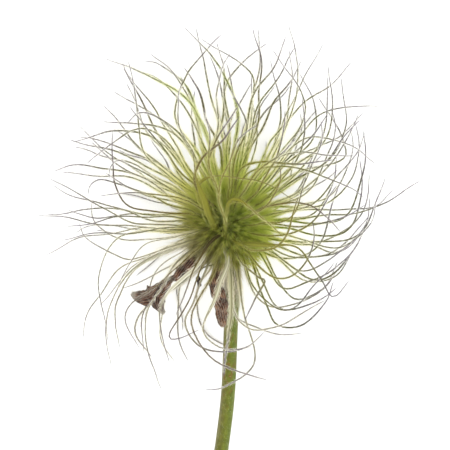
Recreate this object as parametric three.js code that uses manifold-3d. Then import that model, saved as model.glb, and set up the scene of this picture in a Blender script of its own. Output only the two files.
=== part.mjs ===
// A pasque flower seed head, cut with its stem and lying on a surface.
//
// Millimetres, +Z up. The origin is on the surface, straight below the middle of the head.
// The stem runs from the head towards -Y and comes down to the surface at its cut end.
// Every style has grown into a long plumed awn. The awns stand out of the head on all sides,
// and those on its underside bend flat along the surface that it lies on.

import * as THREE from "three";
import { mergeVertices } from "three/addons/utils/BufferGeometryUtils.js";
import Module from "manifold-3d";

const wasm = await Module();
wasm.setup();

// Driving dimensions, in millimetres and degrees
const HEAD_HEIGHT = 26;
const CORE_RADIUS = 5.6;
const CORE_RISE = 7;
const STEM_RADIUS = 1.7;
const KNOB_RADIUS = 2.4;
const KNOB_END = 3.4;
const NECK_END = 8.5;
const STEM_SIDES = 14;
const GAP = 0.3;

const HEAD_AXIS = new THREE.Vector3(-0.05, 0.97, 0.2).normalize();
const SIDE_AXIS = new THREE.Vector3().crossVectors(HEAD_AXIS, new THREE.Vector3(0, 0, 1)).normalize();
const FRONT_AXIS = new THREE.Vector3().crossVectors(SIDE_AXIS, HEAD_AXIS);

// Awns: how many roots the core has, how thick an awn is, and how it grows
const SEED = 20417;
const ROOT_COUNT = 250;
const STEM_CONE = 38;
const GROWN_EVERY = 2;
const AWN_RADIUS = 0.42;
const SEED_RADIUS = 0.75;
const SUNK_RADIUS = 0.5;
const ROOT_DEPTH = 1.6;
const SEED_MIDDLE = 0.8;
const SEED_LENGTH = 3.6;
const TIP_LENGTH = 3;
const AWN_LENGTH = [33, 43];
const RING_STEP = 5.6;
const LIFT_SHARE = 0.8;

// How far along an awn a push aside is spread, and how much of its root stays put
const BEND_REACH = 12;
const ROOT_HOLD = 4;
const BEND_TRIES = 12;

// The surface: how high the middle of a flattened awn lies, and where a falling awn starts to level
const FLOOR = 0.2;
const FLOOR_BLEND = 7;
const LANDING = 2.2;

// How an awn bends on its way out, by the heading it leaves with. Each row holds the heading, the
// usual turn and how far that turn varies, in degrees anticlockwise as seen from above, and then
// the share of the roots there that still hold an awn.
const BENDS = [
  [-180, -12, 26, 0.4],
  [-165, 35, 26, 0.3],
  [-140, 65, 28, 0.3],
  [-115, 95, 30, 0.35],
  [-90, 120, 30, 0.4],
  [-60, 120, 28, 0.2],
  [-30, 105, 28, 0.25],
  [0, 90, 28, 0.35],
  [20, 68, 35, 0.6],
  [45, 28, 40, 0.85],
  [70, 5, 42, 0.85],
  [90, -12, 45, 0.85],
  [110, -18, 48, 0.8],
  [135, -8, 45, 0.7],
  [155, -5, 38, 0.55],
  [180, -12, 26, 0.4],
];

// The stem's middle line, from the knob inside the head to the cut end
const STEM_LINE = [
  [-0.1, 2.2, 26.4],
  [0, 0, 26],
  [0.5, -3.4, 25.3],
  [1.1, -8, 24.3],
  [1.3, -13, 23],
  [0.9, -25, 19.2],
  [0.3, -40.8, 12.8],
  [-1.2, -53.8, 7.6],
  [-3.1, -65.8, 3.8],
  [-5.4, -79, 2],
  [-6.6, -85, 1.7],
];

// Withered tepals, each a list of blades that have grown together. Each row of a blade's line
// holds a point, then half the width and half the thickness there, how deep the blade is gutted,
// and its roll in degrees.
const TEPALS = {
  tepal_left: [
    [
      [-1.7, -8.2, 24.9, 0.7, 0.55, 0.1, 10],
      [-4.6, -7, 26.9, 1.2, 0.5, 0.4, 25],
      [-7.7, -7.9, 28, 1.45, 0.45, 0.6, 20],
      [-9.9, -9.7, 28.1, 1.6, 0.45, 0.7, 10],
      [-11.8, -12, 27.7, 1.1, 0.45, 0.5, 5],
      [-13.6, -13, 27.2, 0.8, 0.5, 0.3, -15],
      [-15.6, -15, 26.8, 1.6, 0.45, 0.7, -15],
      [-18.6, -16.9, 26.3, 2.2, 0.45, 0.8, 0],
      [-20.8, -17, 26, 1.6, 0.45, 0.6, 10],
      [-22.9, -16.3, 25.8, 0.5, 0.45, 0.2, 10],
    ],
    [
      [-14.6, -14.4, 27, 0.8, 0.4, 0.2, -10],
      [-15.6, -16, 26.7, 1.3, 0.4, 0.4, -10],
      [-16.5, -18, 26.4, 1.8, 0.4, 0.6, 5],
      [-16.2, -19.6, 26, 1.2, 0.4, 0.4, 10],
      [-15.1, -20.9, 25.5, 0.5, 0.4, 0.2, 10],
    ],
    [
      [-15.9, -14.6, 27.1, 0.7, 0.4, 0.2, 0],
      [-14.9, -13.4, 27.8, 0.8, 0.4, 0.3, 20],
      [-13.8, -12.4, 28.1, 0.5, 0.4, 0.1, 20],
    ],
  ],
  tepal_right: [
    [
      [-0.15, -9.2, 26.25, 0.7, 0.5, 0.1, 0],
      [-1.9, -10.6, 26.9, 1.3, 0.5, 0.3, -15],
      [-2.6, -13.4, 26.9, 1.7, 0.45, 0.6, -20],
      [-1.9, -16.4, 26.5, 1.7, 0.45, 0.7, -20],
      [-1.3, -19, 25.9, 1.55, 0.45, 0.7, -10],
      [-1.3, -21.4, 25.2, 1.5, 0.5, 0.6, 0],
      [-1.1, -23.2, 24.6, 1.1, 0.5, 0.3, 5],
      [-1.1, -24.2, 24.3, 0.5, 0.45, 0.1, 5],
    ],
  ],
};

// One dried stamen that is left below the head: its line, its thread and its anther
const STAMEN_LINE = [
  [-0.9, -8.65, 22.75],
  [-3.6, -9.4, 24.2],
  [-6, -10.2, 26.6],
  [-6.9, -12.2, 27.8],
  [-6.5, -14.6, 28],
];
const STAMEN_RADIUS = 0.32;
const ANTHER_RADIUS = 0.6;

// The awn that lies under the middle of the head, with the flat spot at the origin
const REST_WAY = [-0.45, -0.3, -0.84];
const REST_LINE = [
  [-6, -4, 6],
  [-4.5, -3, 1.5],
  [-2.5, -1.5, FLOOR],
  [3, 2, FLOOR],
  [14, 9, FLOOR],
  [24, 18, FLOOR],
];

// Awns placed by hand. Each row holds how far the tip ends above or below the middle of the head,
// then the points that the awn passes in plan.
const ROUTES = [
  [8, [-9.5, 0], [-17.5, 0.5], [-23.5, 1], [-30.5, 5], [-42.5, 11.5]],
  [-12, [-9.5, 1.5], [-18.5, 3], [-27, 2.5], [-33, 2], [-39, 4]],
  [14, [-10, 3], [-18.5, 3.5], [-23.5, 5], [-26.5, 10], [-27, 14.5], [-27, 22.5]],
  [-16, [-13, 6], [-19.5, 7.5], [-26, 10], [-31, 11.5], [-33.5, 10], [-34, 7.5]],
  [5, [-12.5, 8.5], [-21, 12], [-30.5, 14], [-36.5, 14.5], [-41.5, 13]],
  [20, [-13.5, 9], [-21.5, 13.5], [-25.5, 15.5], [-27.5, 13.5], [-27.5, 11]],
  [-8, [-9, 8.5], [-18.5, 14], [-27, 18], [-35, 20], [-38.5, 21]],
  [6, [-7.5, 10.5], [-14, 18], [-19.5, 22], [-27.5, 22.5], [-36.5, 20]],
  [-18, [-11.5, 11], [-19, 17], [-25, 22], [-28, 24]],
  [11, [-9, 12], [-14, 20], [-20.5, 23], [-27.5, 19.5], [-33.5, 14.5]],
  [-6, [-9.5, 14.5], [-15.5, 25], [-19.5, 31], [-25.5, 38.5]],
  [9, [-12.5, 11], [-19, 16.5], [-21, 23], [-21.5, 30], [-23.5, 39.5]],
  [-13, [-9, 18], [-15, 25], [-22, 29.5], [-28, 33]],
  [18, [-10, 20], [-16, 25.5], [-20.5, 26.5], [-23.5, 24]],
  [2, [-9, 18], [-15, 23.5], [-23.5, 24.5], [-30, 25]],
  [-3, [-6.5, -1], [-21.5, -1.5], [-27, -3.5], [-31, -12], [-30, -19.5], [-28.5, -28.5]],
  [5, [-7.5, -3.5], [-21, -9], [-27, -17], [-29, -24], [-27.5, -34]],
  [-9, [-9, -4], [-21.5, -10], [-26.5, -17.5], [-27, -23], [-26, -30]],
  [12, [-9, -3.5], [-19.5, -7], [-25, -7.5], [-33, -3], [-35, 1]],
  [-14, [-10, -2], [-21.5, -3.5], [-27.5, -2.5], [-32.5, 1], [-33, 6.5]],
  [22, [-11.5, -2.5], [-18.5, -4], [-23, -9], [-26, -15.5]],
  [-18, [-5.5, -1], [-16, -1.5], [-27.5, 0], [-34, 0], [-37.5, -2]],
  [-20, [-7.5, -5.5], [-15, -10.5], [-21, -13.5], [-26, -15.5]],
  [14, [-4.4, -4.6], [-6.6, -9], [-11, -12.7], [-15, -17.5], [-16, -22.5], [-13.5, -32.5]],
  [-6, [-5.2, -7.8], [-10.5, -13.2], [-15.5, -17], [-21, -21], [-22, -26], [-18, -32]],
  [10, [-6.5, -5], [-12, -9.8], [-16.5, -14.2], [-22.5, -18], [-24, -22.5], [-20.5, -29.5]],
  [12, [-5.5, -8.5], [-8.5, -16.5], [-13.5, -25.5], [-11.5, -26.5], [-6.5, -24.5]],
  [9, [-5, -10], [-8, -18], [-10, -23], [-6.5, -28.5], [-0.5, -30], [6, -28.5]],
  [13, [-3.5, -12], [-8.5, -21], [-6.5, -27.5], [-1, -33], [10, -36.5]],
  [22, [-1.2, -4.2], [0.2, -8.6], [-2.2, -15.4], [-5.5, -24], [-1.5, -28.5], [4, -28.5], [9, -24.5]],
  [5, [2.5, -7], [3.5, -18], [6.5, -30], [5, -35], [-1, -38.5], [-5.5, -39]],
  [10, [0.5, -8.5], [1.5, -19.5], [5.5, -24.5], [11.5, -24], [18, -20.5], [23.5, -17.5]],
  [-8, [3, -7.5], [6, -15.5], [11, -19.5], [18, -18.5], [24, -14.5], [27.5, -9.5]],
  [4, [5.5, -7], [9, -18], [12, -23.5], [18.5, -23.5], [23.5, -18], [25.5, -13]],
  [-15, [5, -6], [8.5, -13], [12.5, -20], [21, -19], [27, -15]],
  [20, [3, -8], [7, -12], [9, -13], [6, -18], [4, -22.5]],
  [9, [7.5, -6], [13, -14.5], [20, -13], [27, -9], [31, -4.5]],
  [-12, [8.5, -6], [13.5, -15], [17.5, -18], [24, -14.5], [27, -8.5]],
  [16, [10.5, -6], [17, -10.5], [24, -8], [31, -2.5]],
  [3, [10, -5.5], [19.5, -12.5], [26, -11], [31, -4.5], [32.5, -0.5]],
  [-6, [8.5, -4.5], [18.5, -13], [25.5, -12.5], [30, -7], [33.5, -0.5]],
  [26, [0.9, -2.3], [3.2, -4.2], [11.5, -4.5], [17, -5.5], [21.5, -12], [24.5, -16.5], [28.5, -12.5]],
  [3, [10.5, 1], [23.5, 2.5], [34.5, 4], [46.5, 11]],
  [22, [10.5, 5], [18.5, 5], [23.5, 2], [26.5, -1.5]],
  [-20, [8.5, 5], [15, 6.5], [23.5, 11], [27.5, 14]],
  [8, [10.5, 4.5], [23, 5], [29, 10.5], [31.5, 18], [30.5, 24.5]],
  [-8, [10, 3.5], [24.5, 4], [35, 4.5], [40.5, 9]],
  [18, [8.5, 0.5], [17.5, 0], [26, 1.5], [32.5, 5]],
  [-4, [14, -0.5], [24, -2.5], [29.5, -0.5], [32.5, 7.5], [32, 16.5]],
  [12, [10.5, -1], [18.5, -3.5], [27, -5], [33.5, 0], [35.5, 7]],
  [-13, [10, -3], [20.5, -4.5], [27, -6.5], [33.5, 0], [35, 7.5]],
  [5, [10.5, 1.5], [26, 1], [31, 7.5], [33, 17], [32.5, 23]],
  [-7, [10.5, 7], [24.5, 16], [28.5, 23], [28.5, 29.5], [27.5, 36.5]],
  [4, [8.5, 16], [11, 21], [18, 29], [24.5, 33.5], [30, 39.5]],
  [10, [11.5, 13.5], [15.5, 19], [20.5, 21], [28.5, 19.5], [35.5, 14.5]],
  [-5, [12.5, 14.5], [18, 22], [24.5, 28], [37.5, 29]],
  [-10, [8.5, 14.5], [12.5, 23], [13, 29], [10.5, 40.5]],
  [6, [10.5, 16], [15, 26], [17, 37], [14.5, 48.5]],
  [-4, [8.5, 13.5], [14, 26], [18, 34.5], [23.5, 44.5]],
  [13, [10.5, 14.5], [18, 25], [17.5, 31.5], [10.5, 42]],
  [-12, [14, 14.5], [21, 21.5], [21.5, 29], [17.5, 37.5]],
  [7, [15, 13.5], [23.5, 20.5], [25, 29], [24, 38.5]],
  [-9, [17.5, 13], [28, 16], [28.5, 20], [25.5, 26], [22, 31.5]],
  [17, [9, 14], [16.5, 17.5], [23.5, 16.5], [30, 16.5]],
  [-15, [11.5, 13.5], [22.5, 19.5], [28.5, 22.5], [33.5, 28]],
  [-8, [-3.5, 18], [-1, 26.5], [0, 34.5], [4, 40], [10, 44.5]],
  [5, [-7.5, 18], [-12.5, 26.5], [-9.5, 36], [-5, 42], [-1, 46]],
  [9, [2, 20.5], [2.5, 28], [0, 34.5], [-5, 42], [-10.5, 47.5]],
  [-3, [-0.5, 18], [-3.5, 30], [-6, 41], [-7.5, 48]],
  [11, [3, 18], [6.5, 33], [3, 38.5], [-6.5, 44.5]],
  [-6, [5, 18], [6, 29], [8, 40], [7.5, 48]],
  [14, [3.5, 16], [6, 30], [11, 37.5], [14, 45]],
  [4, [-5, 18], [-9, 26.5], [-16, 35], [-21.5, 37]],
  [-12, [-6, 18], [-7, 26], [-10, 34], [-16.5, 39.5], [-20.5, 40]],
  [-7, [-5.5, 18], [-9, 30.5], [-13.5, 37.5], [-19, 42]],
  [17, [-6.5, 14.5], [-11, 23], [-11.5, 30], [-10.5, 34]],
  [15, [-3, 16], [-2, 25.5], [-2.5, 31.5], [-1, 37.5], [1, 41]],
  [-16, [-1, 14.5], [1, 25.5], [3, 30], [6, 35]],
  [21, [2, 16], [4.5, 23], [3, 28], [0, 33]],
  [28, [-7.5, 9.5], [-5.5, 16], [-1, 20], [3, 25.5]],
  [26, [1, 16], [2.5, 20], [5.5, 22.5], [7.5, 23.5]],
  [24, [-0.5, -2.5], [0, 4.5], [2.5, 6], [7, 3], [13, -2.5]],
  [25, [-3.5, 1.5], [-7, 8], [-5.5, 11], [0.5, 11.5], [8.5, 10], [17.5, 5]],
  [22, [3, 13], [8.5, 15], [17.5, 14.5], [25, 15.5]],
  [23, [4.5, 12], [11.5, 14], [20, 12.5], [28.5, 9], [32, 6.5]],
  [27, [-3, 0], [-6, 7.5], [-7.5, 13.5], [-8, 18]],
  [8, [-3.5, 16], [-6, 24.5], [-9.5, 30], [-17, 35], [-29.5, 40]],
  [12, [0.6, -9], [1.1, -19], [0.4, -24], [-0.1, -28.6], [-0.8, -35.8]],
  [28, [-1, -1.4], [-3.4, -3.4], [-5.8, -6.4], [-8, -11], [-12, -21]],
];

const toPoint = (row) => new THREE.Vector3(row[0], row[1], row[2]);
const radians = THREE.MathUtils.degToRad;

function smooth(t) {
  const x = Math.min(Math.max(t, 0), 1);
  return x * x * (3 - 2 * x);
}

// A random draw between 0 and 1 that gives the same values in every run
function makeRandom(seed) {
  let state = seed >>> 0;
  const draw = () => {
    state = (Math.imul(state, 1664525) + 1013904223) >>> 0;
    return state / 4294967296;
  };
  for (let i = 0; i < 4; i += 1) draw();
  return draw;
}

// A smooth line through rows of numbers of any length, as a list of rows
function smoothLine(rows, steps) {
  const mirror = (end, next) => end.map((v, k) => 2 * v - next[k]);
  const last = rows.length - 1;
  const all = [mirror(rows[0], rows[1]), ...rows, mirror(rows[last], rows[last - 1])];
  const made = [];
  for (let i = 0; i < last; i += 1) {
    const [a, b, c, d] = all.slice(i, i + 4);
    for (let k = 0; k < steps; k += 1) {
      const t = k / steps;
      made.push(
        b.map(
          (v, j) =>
            0.5 *
            (2 * v +
              (c[j] - a[j]) * t +
              (2 * a[j] - 5 * v + 4 * c[j] - d[j]) * t ** 2 +
              (3 * v - a[j] - 3 * c[j] + d[j]) * t ** 3),
        ),
      );
    }
  }
  made.push([...rows[last]]);
  return made;
}

// How far along a line each of its points lies
function runOf(points) {
  const run = [0];
  for (let i = 1; i < points.length; i += 1) {
    run.push(run[i - 1] + points[i].distanceTo(points[i - 1]));
  }
  return run;
}

// The point at a given distance along a line
function pointAt(points, run, distance) {
  let i = 1;
  while (i < points.length - 1 && run[i] < distance) i += 1;
  const share = (distance - run[i - 1]) / (run[i] - run[i - 1]);
  return points[i - 1].clone().lerp(points[i], share);
}

// A direction for each point, along the line
function tangentsOf(points) {
  return points.map((point, i) => {
    const next = points[Math.min(i + 1, points.length - 1)];
    const back = points[Math.max(i - 1, 0)];
    return next.clone().sub(back).normalize();
  });
}

// Two directions across the line at each point. They start from the far end, where the second
// points as far up as it can, and are carried back to the root with no twist.
function framesOf(points) {
  const tangents = tangentsOf(points);
  let up = new THREE.Vector3(0, 0, 1);
  const frames = [];
  for (let i = points.length - 1; i >= 0; i -= 1) {
    up = up.clone().addScaledVector(tangents[i], -up.dot(tangents[i])).normalize();
    frames.unshift({ up, side: new THREE.Vector3().crossVectors(tangents[i], up) });
  }
  return frames;
}

// A closed solid through rings of points, with a point at each end
function loft(rings, start, end) {
  const sides = rings[0].length;
  const points = [start, ...rings.flat(), end];
  const at = (ring, side) => 1 + ring * sides + (side % sides);
  const faces = [];
  for (let k = 0; k < sides; k += 1) {
    faces.push(0, at(0, k), at(0, k + 1));
    for (let r = 0; r < rings.length - 1; r += 1) {
      faces.push(at(r, k), at(r + 1, k), at(r + 1, k + 1));
      faces.push(at(r, k), at(r + 1, k + 1), at(r, k + 1));
    }
    faces.push(at(rings.length - 1, k), points.length - 1, at(rings.length - 1, k + 1));
  }
  const positions = points.flatMap((p) => [p.x, p.y, Math.max(p.z, 0)]);
  return new wasm.Manifold(
    new wasm.Mesh({
      numProp: 3,
      vertProperties: new Float32Array(positions),
      triVerts: new Uint32Array(faces),
    }),
  );
}

// A round tube along a line. The radius is a function of the distance from the start.
function tube(points, radiusAt, sides, reach = 0) {
  const run = runOf(points);
  const tangents = tangentsOf(points);
  const frames = framesOf(points);
  const rings = points.map((point, i) =>
    Array.from({ length: sides }, (_, k) => {
      const angle = Math.PI / 2 + (2 * Math.PI * k) / sides;
      const radius = radiusAt(run[i], run[run.length - 1]);
      return point
        .clone()
        .addScaledVector(frames[i].up, radius * Math.sin(angle))
        .addScaledVector(frames[i].side, radius * Math.cos(angle));
    }),
  );
  const start = points[0].clone().addScaledVector(tangents[0], -reach);
  const end = points[points.length - 1].clone().addScaledVector(tangents[tangents.length - 1], reach);
  return loft(rings, start, end);
}

// The stem's radius by distance from the top of its knob, wider by a margin where one is given
function stemRadius(distance, margin = 0) {
  const neck = smooth((distance - KNOB_END) / (NECK_END - KNOB_END));
  const dome = Math.sqrt(Math.min(1, (distance + 0.5) / KNOB_END));
  return (KNOB_RADIUS + (STEM_RADIUS - KNOB_RADIUS) * neck) * dome + margin;
}

function makeStem(margin = 0) {
  const line = smoothLine(STEM_LINE, 3).map(toPoint);
  return tube(line, (distance) => stemRadius(distance, margin), STEM_SIDES, margin + 0.1);
}

// A withered blade: a gutter of even thickness that rolls and narrows along its line
function makeBlade(rows, margin) {
  const stations = smoothLine(rows, 2);
  const line = stations.map(toPoint);
  const frames = framesOf(line);
  const tangents = tangentsOf(line);
  const across = [-1, -0.55, 0, 0.55, 1];
  const rings = stations.map((station, i) => {
    const [, , , width, thickness, depth, roll] = station;
    const { up, side } = frames[i];
    const turned = (v) => v.clone().applyAxisAngle(tangents[i], radians(roll));
    const wide = turned(side);
    const high = turned(up);
    const place = (x, face) => {
      const edge = Math.sqrt(1 - 0.75 * x * x);
      const height = depth * (0.4 - x * x) + face * (thickness * edge + margin);
      return line[i].clone().addScaledVector(wide, x * (width + margin)).addScaledVector(high, height);
    };
    return [...across.map((x) => place(x, -1)).reverse(), ...across.map((x) => place(x, 1))].reverse();
  });
  const start = line[0].clone().addScaledVector(tangents[0], -0.2 - margin);
  const end = line[line.length - 1].clone().addScaledVector(tangents[tangents.length - 1], 0.2 + margin);
  return loft(rings, start, end);
}

function makeTepal(blades, margin = 0) {
  return wasm.Manifold.union(blades.map((rows) => makeBlade(rows, margin)));
}

function makeStamen(margin = 0) {
  const line = smoothLine(STAMEN_LINE, 3).map(toPoint);
  const radius = (distance, length) =>
    STAMEN_RADIUS + (ANTHER_RADIUS - STAMEN_RADIUS) * smooth((distance - length + 3) / 1.5) + margin;
  return tube(line, radius, 6, 0.2 + margin);
}

// The way in which root number i leaves the middle of the head: roots are spread evenly over
// the whole core but for a cone round the stem
function rootWay(i) {
  const lowest = -Math.cos(radians(STEM_CONE));
  const height = 1 - ((1 - lowest) * (i + 0.5)) / ROOT_COUNT;
  const reach = Math.sqrt(1 - height * height);
  const turn = i * Math.PI * (3 - Math.sqrt(5));
  return HEAD_AXIS.clone()
    .multiplyScalar(height)
    .addScaledVector(SIDE_AXIS, reach * Math.cos(turn))
    .addScaledVector(FRONT_AXIS, reach * Math.sin(turn));
}

function onCore(way) {
  const height = way.dot(HEAD_AXIS);
  return way
    .clone()
    .multiplyScalar(CORE_RADIUS)
    .addScaledVector(HEAD_AXIS, (CORE_RISE - CORE_RADIUS) * height)
    .add(new THREE.Vector3(0, 0, HEAD_HEIGHT));
}

// The row of bends for any heading, worked out between the two nearest
function bendFor(heading) {
  const next = Math.max(1, BENDS.findIndex((row) => row[0] >= heading));
  const [from, to] = [BENDS[next - 1], BENDS[next]];
  const share = (heading - from[0]) / (to[0] - from[0]);
  return from.map((value, k) => value + (to[k] - value) * share);
}

// An awn that grows by rule: it leaves along its root, sways a little, turns towards the head's
// top and levels out, and it never goes below the surface. Some roots have lost theirs.
function grownAwn(i) {
  const draw = makeRandom(SEED + i * 2654435761);
  const between = (low, high) => low + (high - low) * draw();
  const way = rootWay(i);
  const leaving = THREE.MathUtils.radToDeg(Math.atan2(way.y, way.x));
  const [, usual, spread, kept] = bendFor(leaving);
  if (draw() > kept) return null;
  const heading = leaving + between(-6, 6);
  const rise = THREE.MathUtils.radToDeg(Math.asin(way.z)) + between(-4, 4);
  const bend = usual + spread * between(-1, 1);
  const turnFrom = between(0.08, 0.35);
  const turnTo = between(0.7, 1.1);
  const length = between(...AWN_LENGTH);
  const level = between(0.3, 1);
  const sway = between(5, 12);
  const wave = between(13, 22);
  const phase = between(0, 2 * Math.PI);
  const steps = Math.round(length);
  const points = [onCore(way)];
  for (let k = 0; k < steps; k += 1) {
    const t = (k + 0.5) / steps;
    const turned = smooth((t - turnFrom) / (turnTo - turnFrom));
    const swing = sway * Math.sin((2 * Math.PI * t * length) / wave + phase);
    const flat = radians(heading + bend * turned + swing);
    const steep = radians(rise * (1 - level * turned));
    const step = new THREE.Vector3(
      Math.cos(steep) * Math.cos(flat),
      Math.cos(steep) * Math.sin(flat),
      Math.sin(steep),
    );
    const last = points[points.length - 1];
    const room = last.z - FLOOR;
    if (step.z < 0 && room < FLOOR_BLEND) step.z *= smooth((room + LANDING) / FLOOR_BLEND);
    const next = last.clone().addScaledVector(step.normalize(), length / steps);
    next.z = Math.max(next.z, FLOOR);
    points.push(next);
  }
  return points;
}

// The height of a hand-placed awn at a share of its length
const liftAt = (share) => Math.sin((Math.PI / 2) * Math.min(1, share / LIFT_SHARE));

// The way in which a hand-placed awn leaves the core
function routeWay([lift, ...plan]) {
  const run = runOf([[0, 0], ...plan].map(([x, y]) => new THREE.Vector3(x, y, 0)));
  const [x, y] = plan[0];
  return new THREE.Vector3(x, y, lift * liftAt(run[1] / run[run.length - 1])).normalize();
}

function routedAwn([lift, ...plan], way) {
  const root = onCore(way);
  const flat = smoothLine([[root.x, root.y], ...plan], 8);
  const points = flat.map(([x, y]) => new THREE.Vector3(x, y, 0));
  const run = runOf(points);
  points.forEach((point, i) => {
    const rise = (HEAD_HEIGHT + lift - root.z) * liftAt(run[i] / run[run.length - 1]);
    point.z = Math.max(FLOOR, root.z + rise);
  });
  return points;
}

// The lowest awn, laid flat under the middle of the head
function restingAwn() {
  const root = onCore(toPoint(REST_WAY).normalize());
  const points = smoothLine([root.toArray(), ...REST_LINE], 8).map(toPoint);
  points.forEach((point) => {
    point.z = Math.max(FLOOR, point.z);
  });
  return points;
}

// What the awns have to stay clear of: points, each with the distance that an awn keeps from it
function obstaclePoints() {
  const clear = AWN_RADIUS + GAP + 0.15;
  const stem = smoothLine(STEM_LINE, 16).map(toPoint);
  const run = runOf(stem);
  const made = stem.map((point, i) => ({ point, room: stemRadius(run[i]) + clear, from: run[i] }));
  const kept = made.filter((obstacle) => obstacle.from > NECK_END);
  Object.values(TEPALS).flat().forEach((rows) => {
    smoothLine(rows, 6).forEach((row) => {
      kept.push({ point: toPoint(row), room: Math.max(0.85 * row[3], row[4] + 0.5 * row[5]) + clear });
    });
  });
  smoothLine(STAMEN_LINE, 8).forEach((row) => {
    kept.push({ point: toPoint(row), room: ANTHER_RADIUS + clear });
  });
  return kept;
}

// Bends an awn clear of the obstacles, or gives null where it can't be bent clear
function bendClear(points, obstacles) {
  const bent = points.map((point) => point.clone());
  for (let tries = 0; tries < BEND_TRIES; tries += 1) {
    let worst = { lack: 0.01 };
    bent.forEach((point, i) => {
      obstacles.forEach((obstacle) => {
        const lack = obstacle.room - point.distanceTo(obstacle.point);
        if (lack > worst.lack) worst = { lack, i, obstacle };
      });
    });
    if (!worst.obstacle) return bent;
    const away = bent[worst.i].clone().sub(worst.obstacle.point);
    if (away.length() < 0.4) away.set(0, 0, 1);
    away.normalize();
    const run = runOf(bent);
    bent.forEach((point, i) => {
      const near = Math.max(0, 1 - Math.abs(run[i] - run[worst.i]) / BEND_REACH);
      point.addScaledVector(away, (worst.lack + 0.05) * smooth(near) * smooth(run[i] / ROOT_HOLD));
      point.z = Math.max(point.z, FLOOR);
    });
  }
  return null;
}

// An awn as a three-sided solid: sunk into the core, swollen round its seed, drawn out to a point
function makeAwn(points) {
  const run = runOf(points);
  const length = run[run.length - 1];
  const sunk = points[0].clone().addScaledVector(tangentsOf(points)[0], -ROOT_DEPTH);
  const drawn = length - SEED_LENGTH - TIP_LENGTH;
  const count = Math.round(drawn / RING_STEP);
  const distances = [SEED_MIDDLE, SEED_LENGTH];
  for (let k = 1; k <= count; k += 1) distances.push(SEED_LENGTH + (drawn * k) / count);
  const stations = distances.map((distance) => pointAt(points, run, distance));
  const line = [sunk, ...stations, points[points.length - 1]];
  const frames = framesOf(line);
  const radii = [SUNK_RADIUS, SEED_RADIUS];
  const rings = line.slice(0, -1).map((point, i) => {
    const radius = radii[i] ?? AWN_RADIUS;
    return [90, 210, 330].map((angle) =>
      point
        .clone()
        .addScaledVector(frames[i].up, radius * Math.sin(radians(angle)))
        .addScaledVector(frames[i].side, radius * Math.cos(radians(angle))),
    );
  });
  const start = sunk.clone().lerp(points[0], -0.1);
  return loft(rings, start, line[line.length - 1]);
}

// The core that the seeds sit on
function makeCore() {
  const ball = new THREE.SphereGeometry(1, 10, 7);
  ball.deleteAttribute("normal");
  ball.deleteAttribute("uv");
  const upright = new THREE.Quaternion().setFromUnitVectors(new THREE.Vector3(0, 1, 0), HEAD_AXIS);
  ball.scale(CORE_RADIUS, CORE_RISE, CORE_RADIUS);
  ball.applyQuaternion(upright);
  ball.translate(0, 0, HEAD_HEIGHT);
  const merged = mergeVertices(ball, 1e-4);
  return new wasm.Manifold(
    new wasm.Mesh({
      numProp: 3,
      vertProperties: new Float32Array(merged.attributes.position.array),
      triVerts: new Uint32Array(merged.index.array),
    }),
  );
}

// Every awn's line: each hand-placed awn takes the free root nearest to its way, and the rule
// fills what roots are left, of which this solid keeps some
function awnLines() {
  const free = new Map(Array.from({ length: ROOT_COUNT }, (_, i) => [i, rootWay(i)]));
  const takeNearest = (way) => {
    let best = null;
    free.forEach((other, i) => {
      if (best === null || other.dot(way) > free.get(best).dot(way)) best = i;
    });
    const root = free.get(best);
    free.delete(best);
    return root;
  };
  takeNearest(toPoint(REST_WAY));
  const lines = [restingAwn()];
  ROUTES.forEach((route) => lines.push(routedAwn(route, takeNearest(routeWay(route)))));
  [...free.keys()].forEach((i) => {
    if (i % GROWN_EVERY === 0) lines.push(grownAwn(i));
  });
  const obstacles = obstaclePoints();
  return lines.map((line) => line && bendClear(line, obstacles)).filter((line) => line !== null);
}

function makeHead(others) {
  const awns = awnLines().map(makeAwn);
  const whole = wasm.Manifold.union([makeCore(), ...awns]);
  const cleared = others.reduce((solid, other) => solid.subtract(other), whole);
  const bodies = cleared.decompose().sort((a, b) => b.volume() - a.volume());
  return bodies[0].simplify(0.01);
}

function toMesh(name, solid, color, roughness) {
  const made = solid.getMesh();
  const geometry = new THREE.BufferGeometry();
  geometry.setAttribute("position", new THREE.BufferAttribute(new Float32Array(made.vertProperties), 3));
  geometry.setIndex(new THREE.BufferAttribute(new Uint32Array(made.triVerts), 1));
  geometry.computeVertexNormals();
  const mesh = new THREE.Mesh(geometry, new THREE.MeshStandardMaterial({ color, roughness, metalness: 0 }));
  mesh.name = name;
  return mesh;
}

const widerTepals = Object.values(TEPALS).map((blades) => makeTepal(blades, GAP));
const wider = [makeStem(GAP), makeStamen(GAP), ...widerTepals];

const group = new THREE.Group();
group.add(toMesh("stem", makeStem(), 0x7d8f4a, 0.6));
group.add(toMesh("seed_head", makeHead(wider), 0xa3ab62, 0.8));
Object.entries(TEPALS).forEach(([name, blades]) => {
  group.add(toMesh(name, makeTepal(blades), 0x6b5044, 0.85));
});
group.add(toMesh("dried_stamen", makeStamen(), 0x4a3c30, 0.8));

export default group;
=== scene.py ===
# The looks of a pasque flower seed head that lies on a pale surface with its cut stem.
# Tables are in millimetres and degrees. The pieces are in metres.

import math

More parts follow.
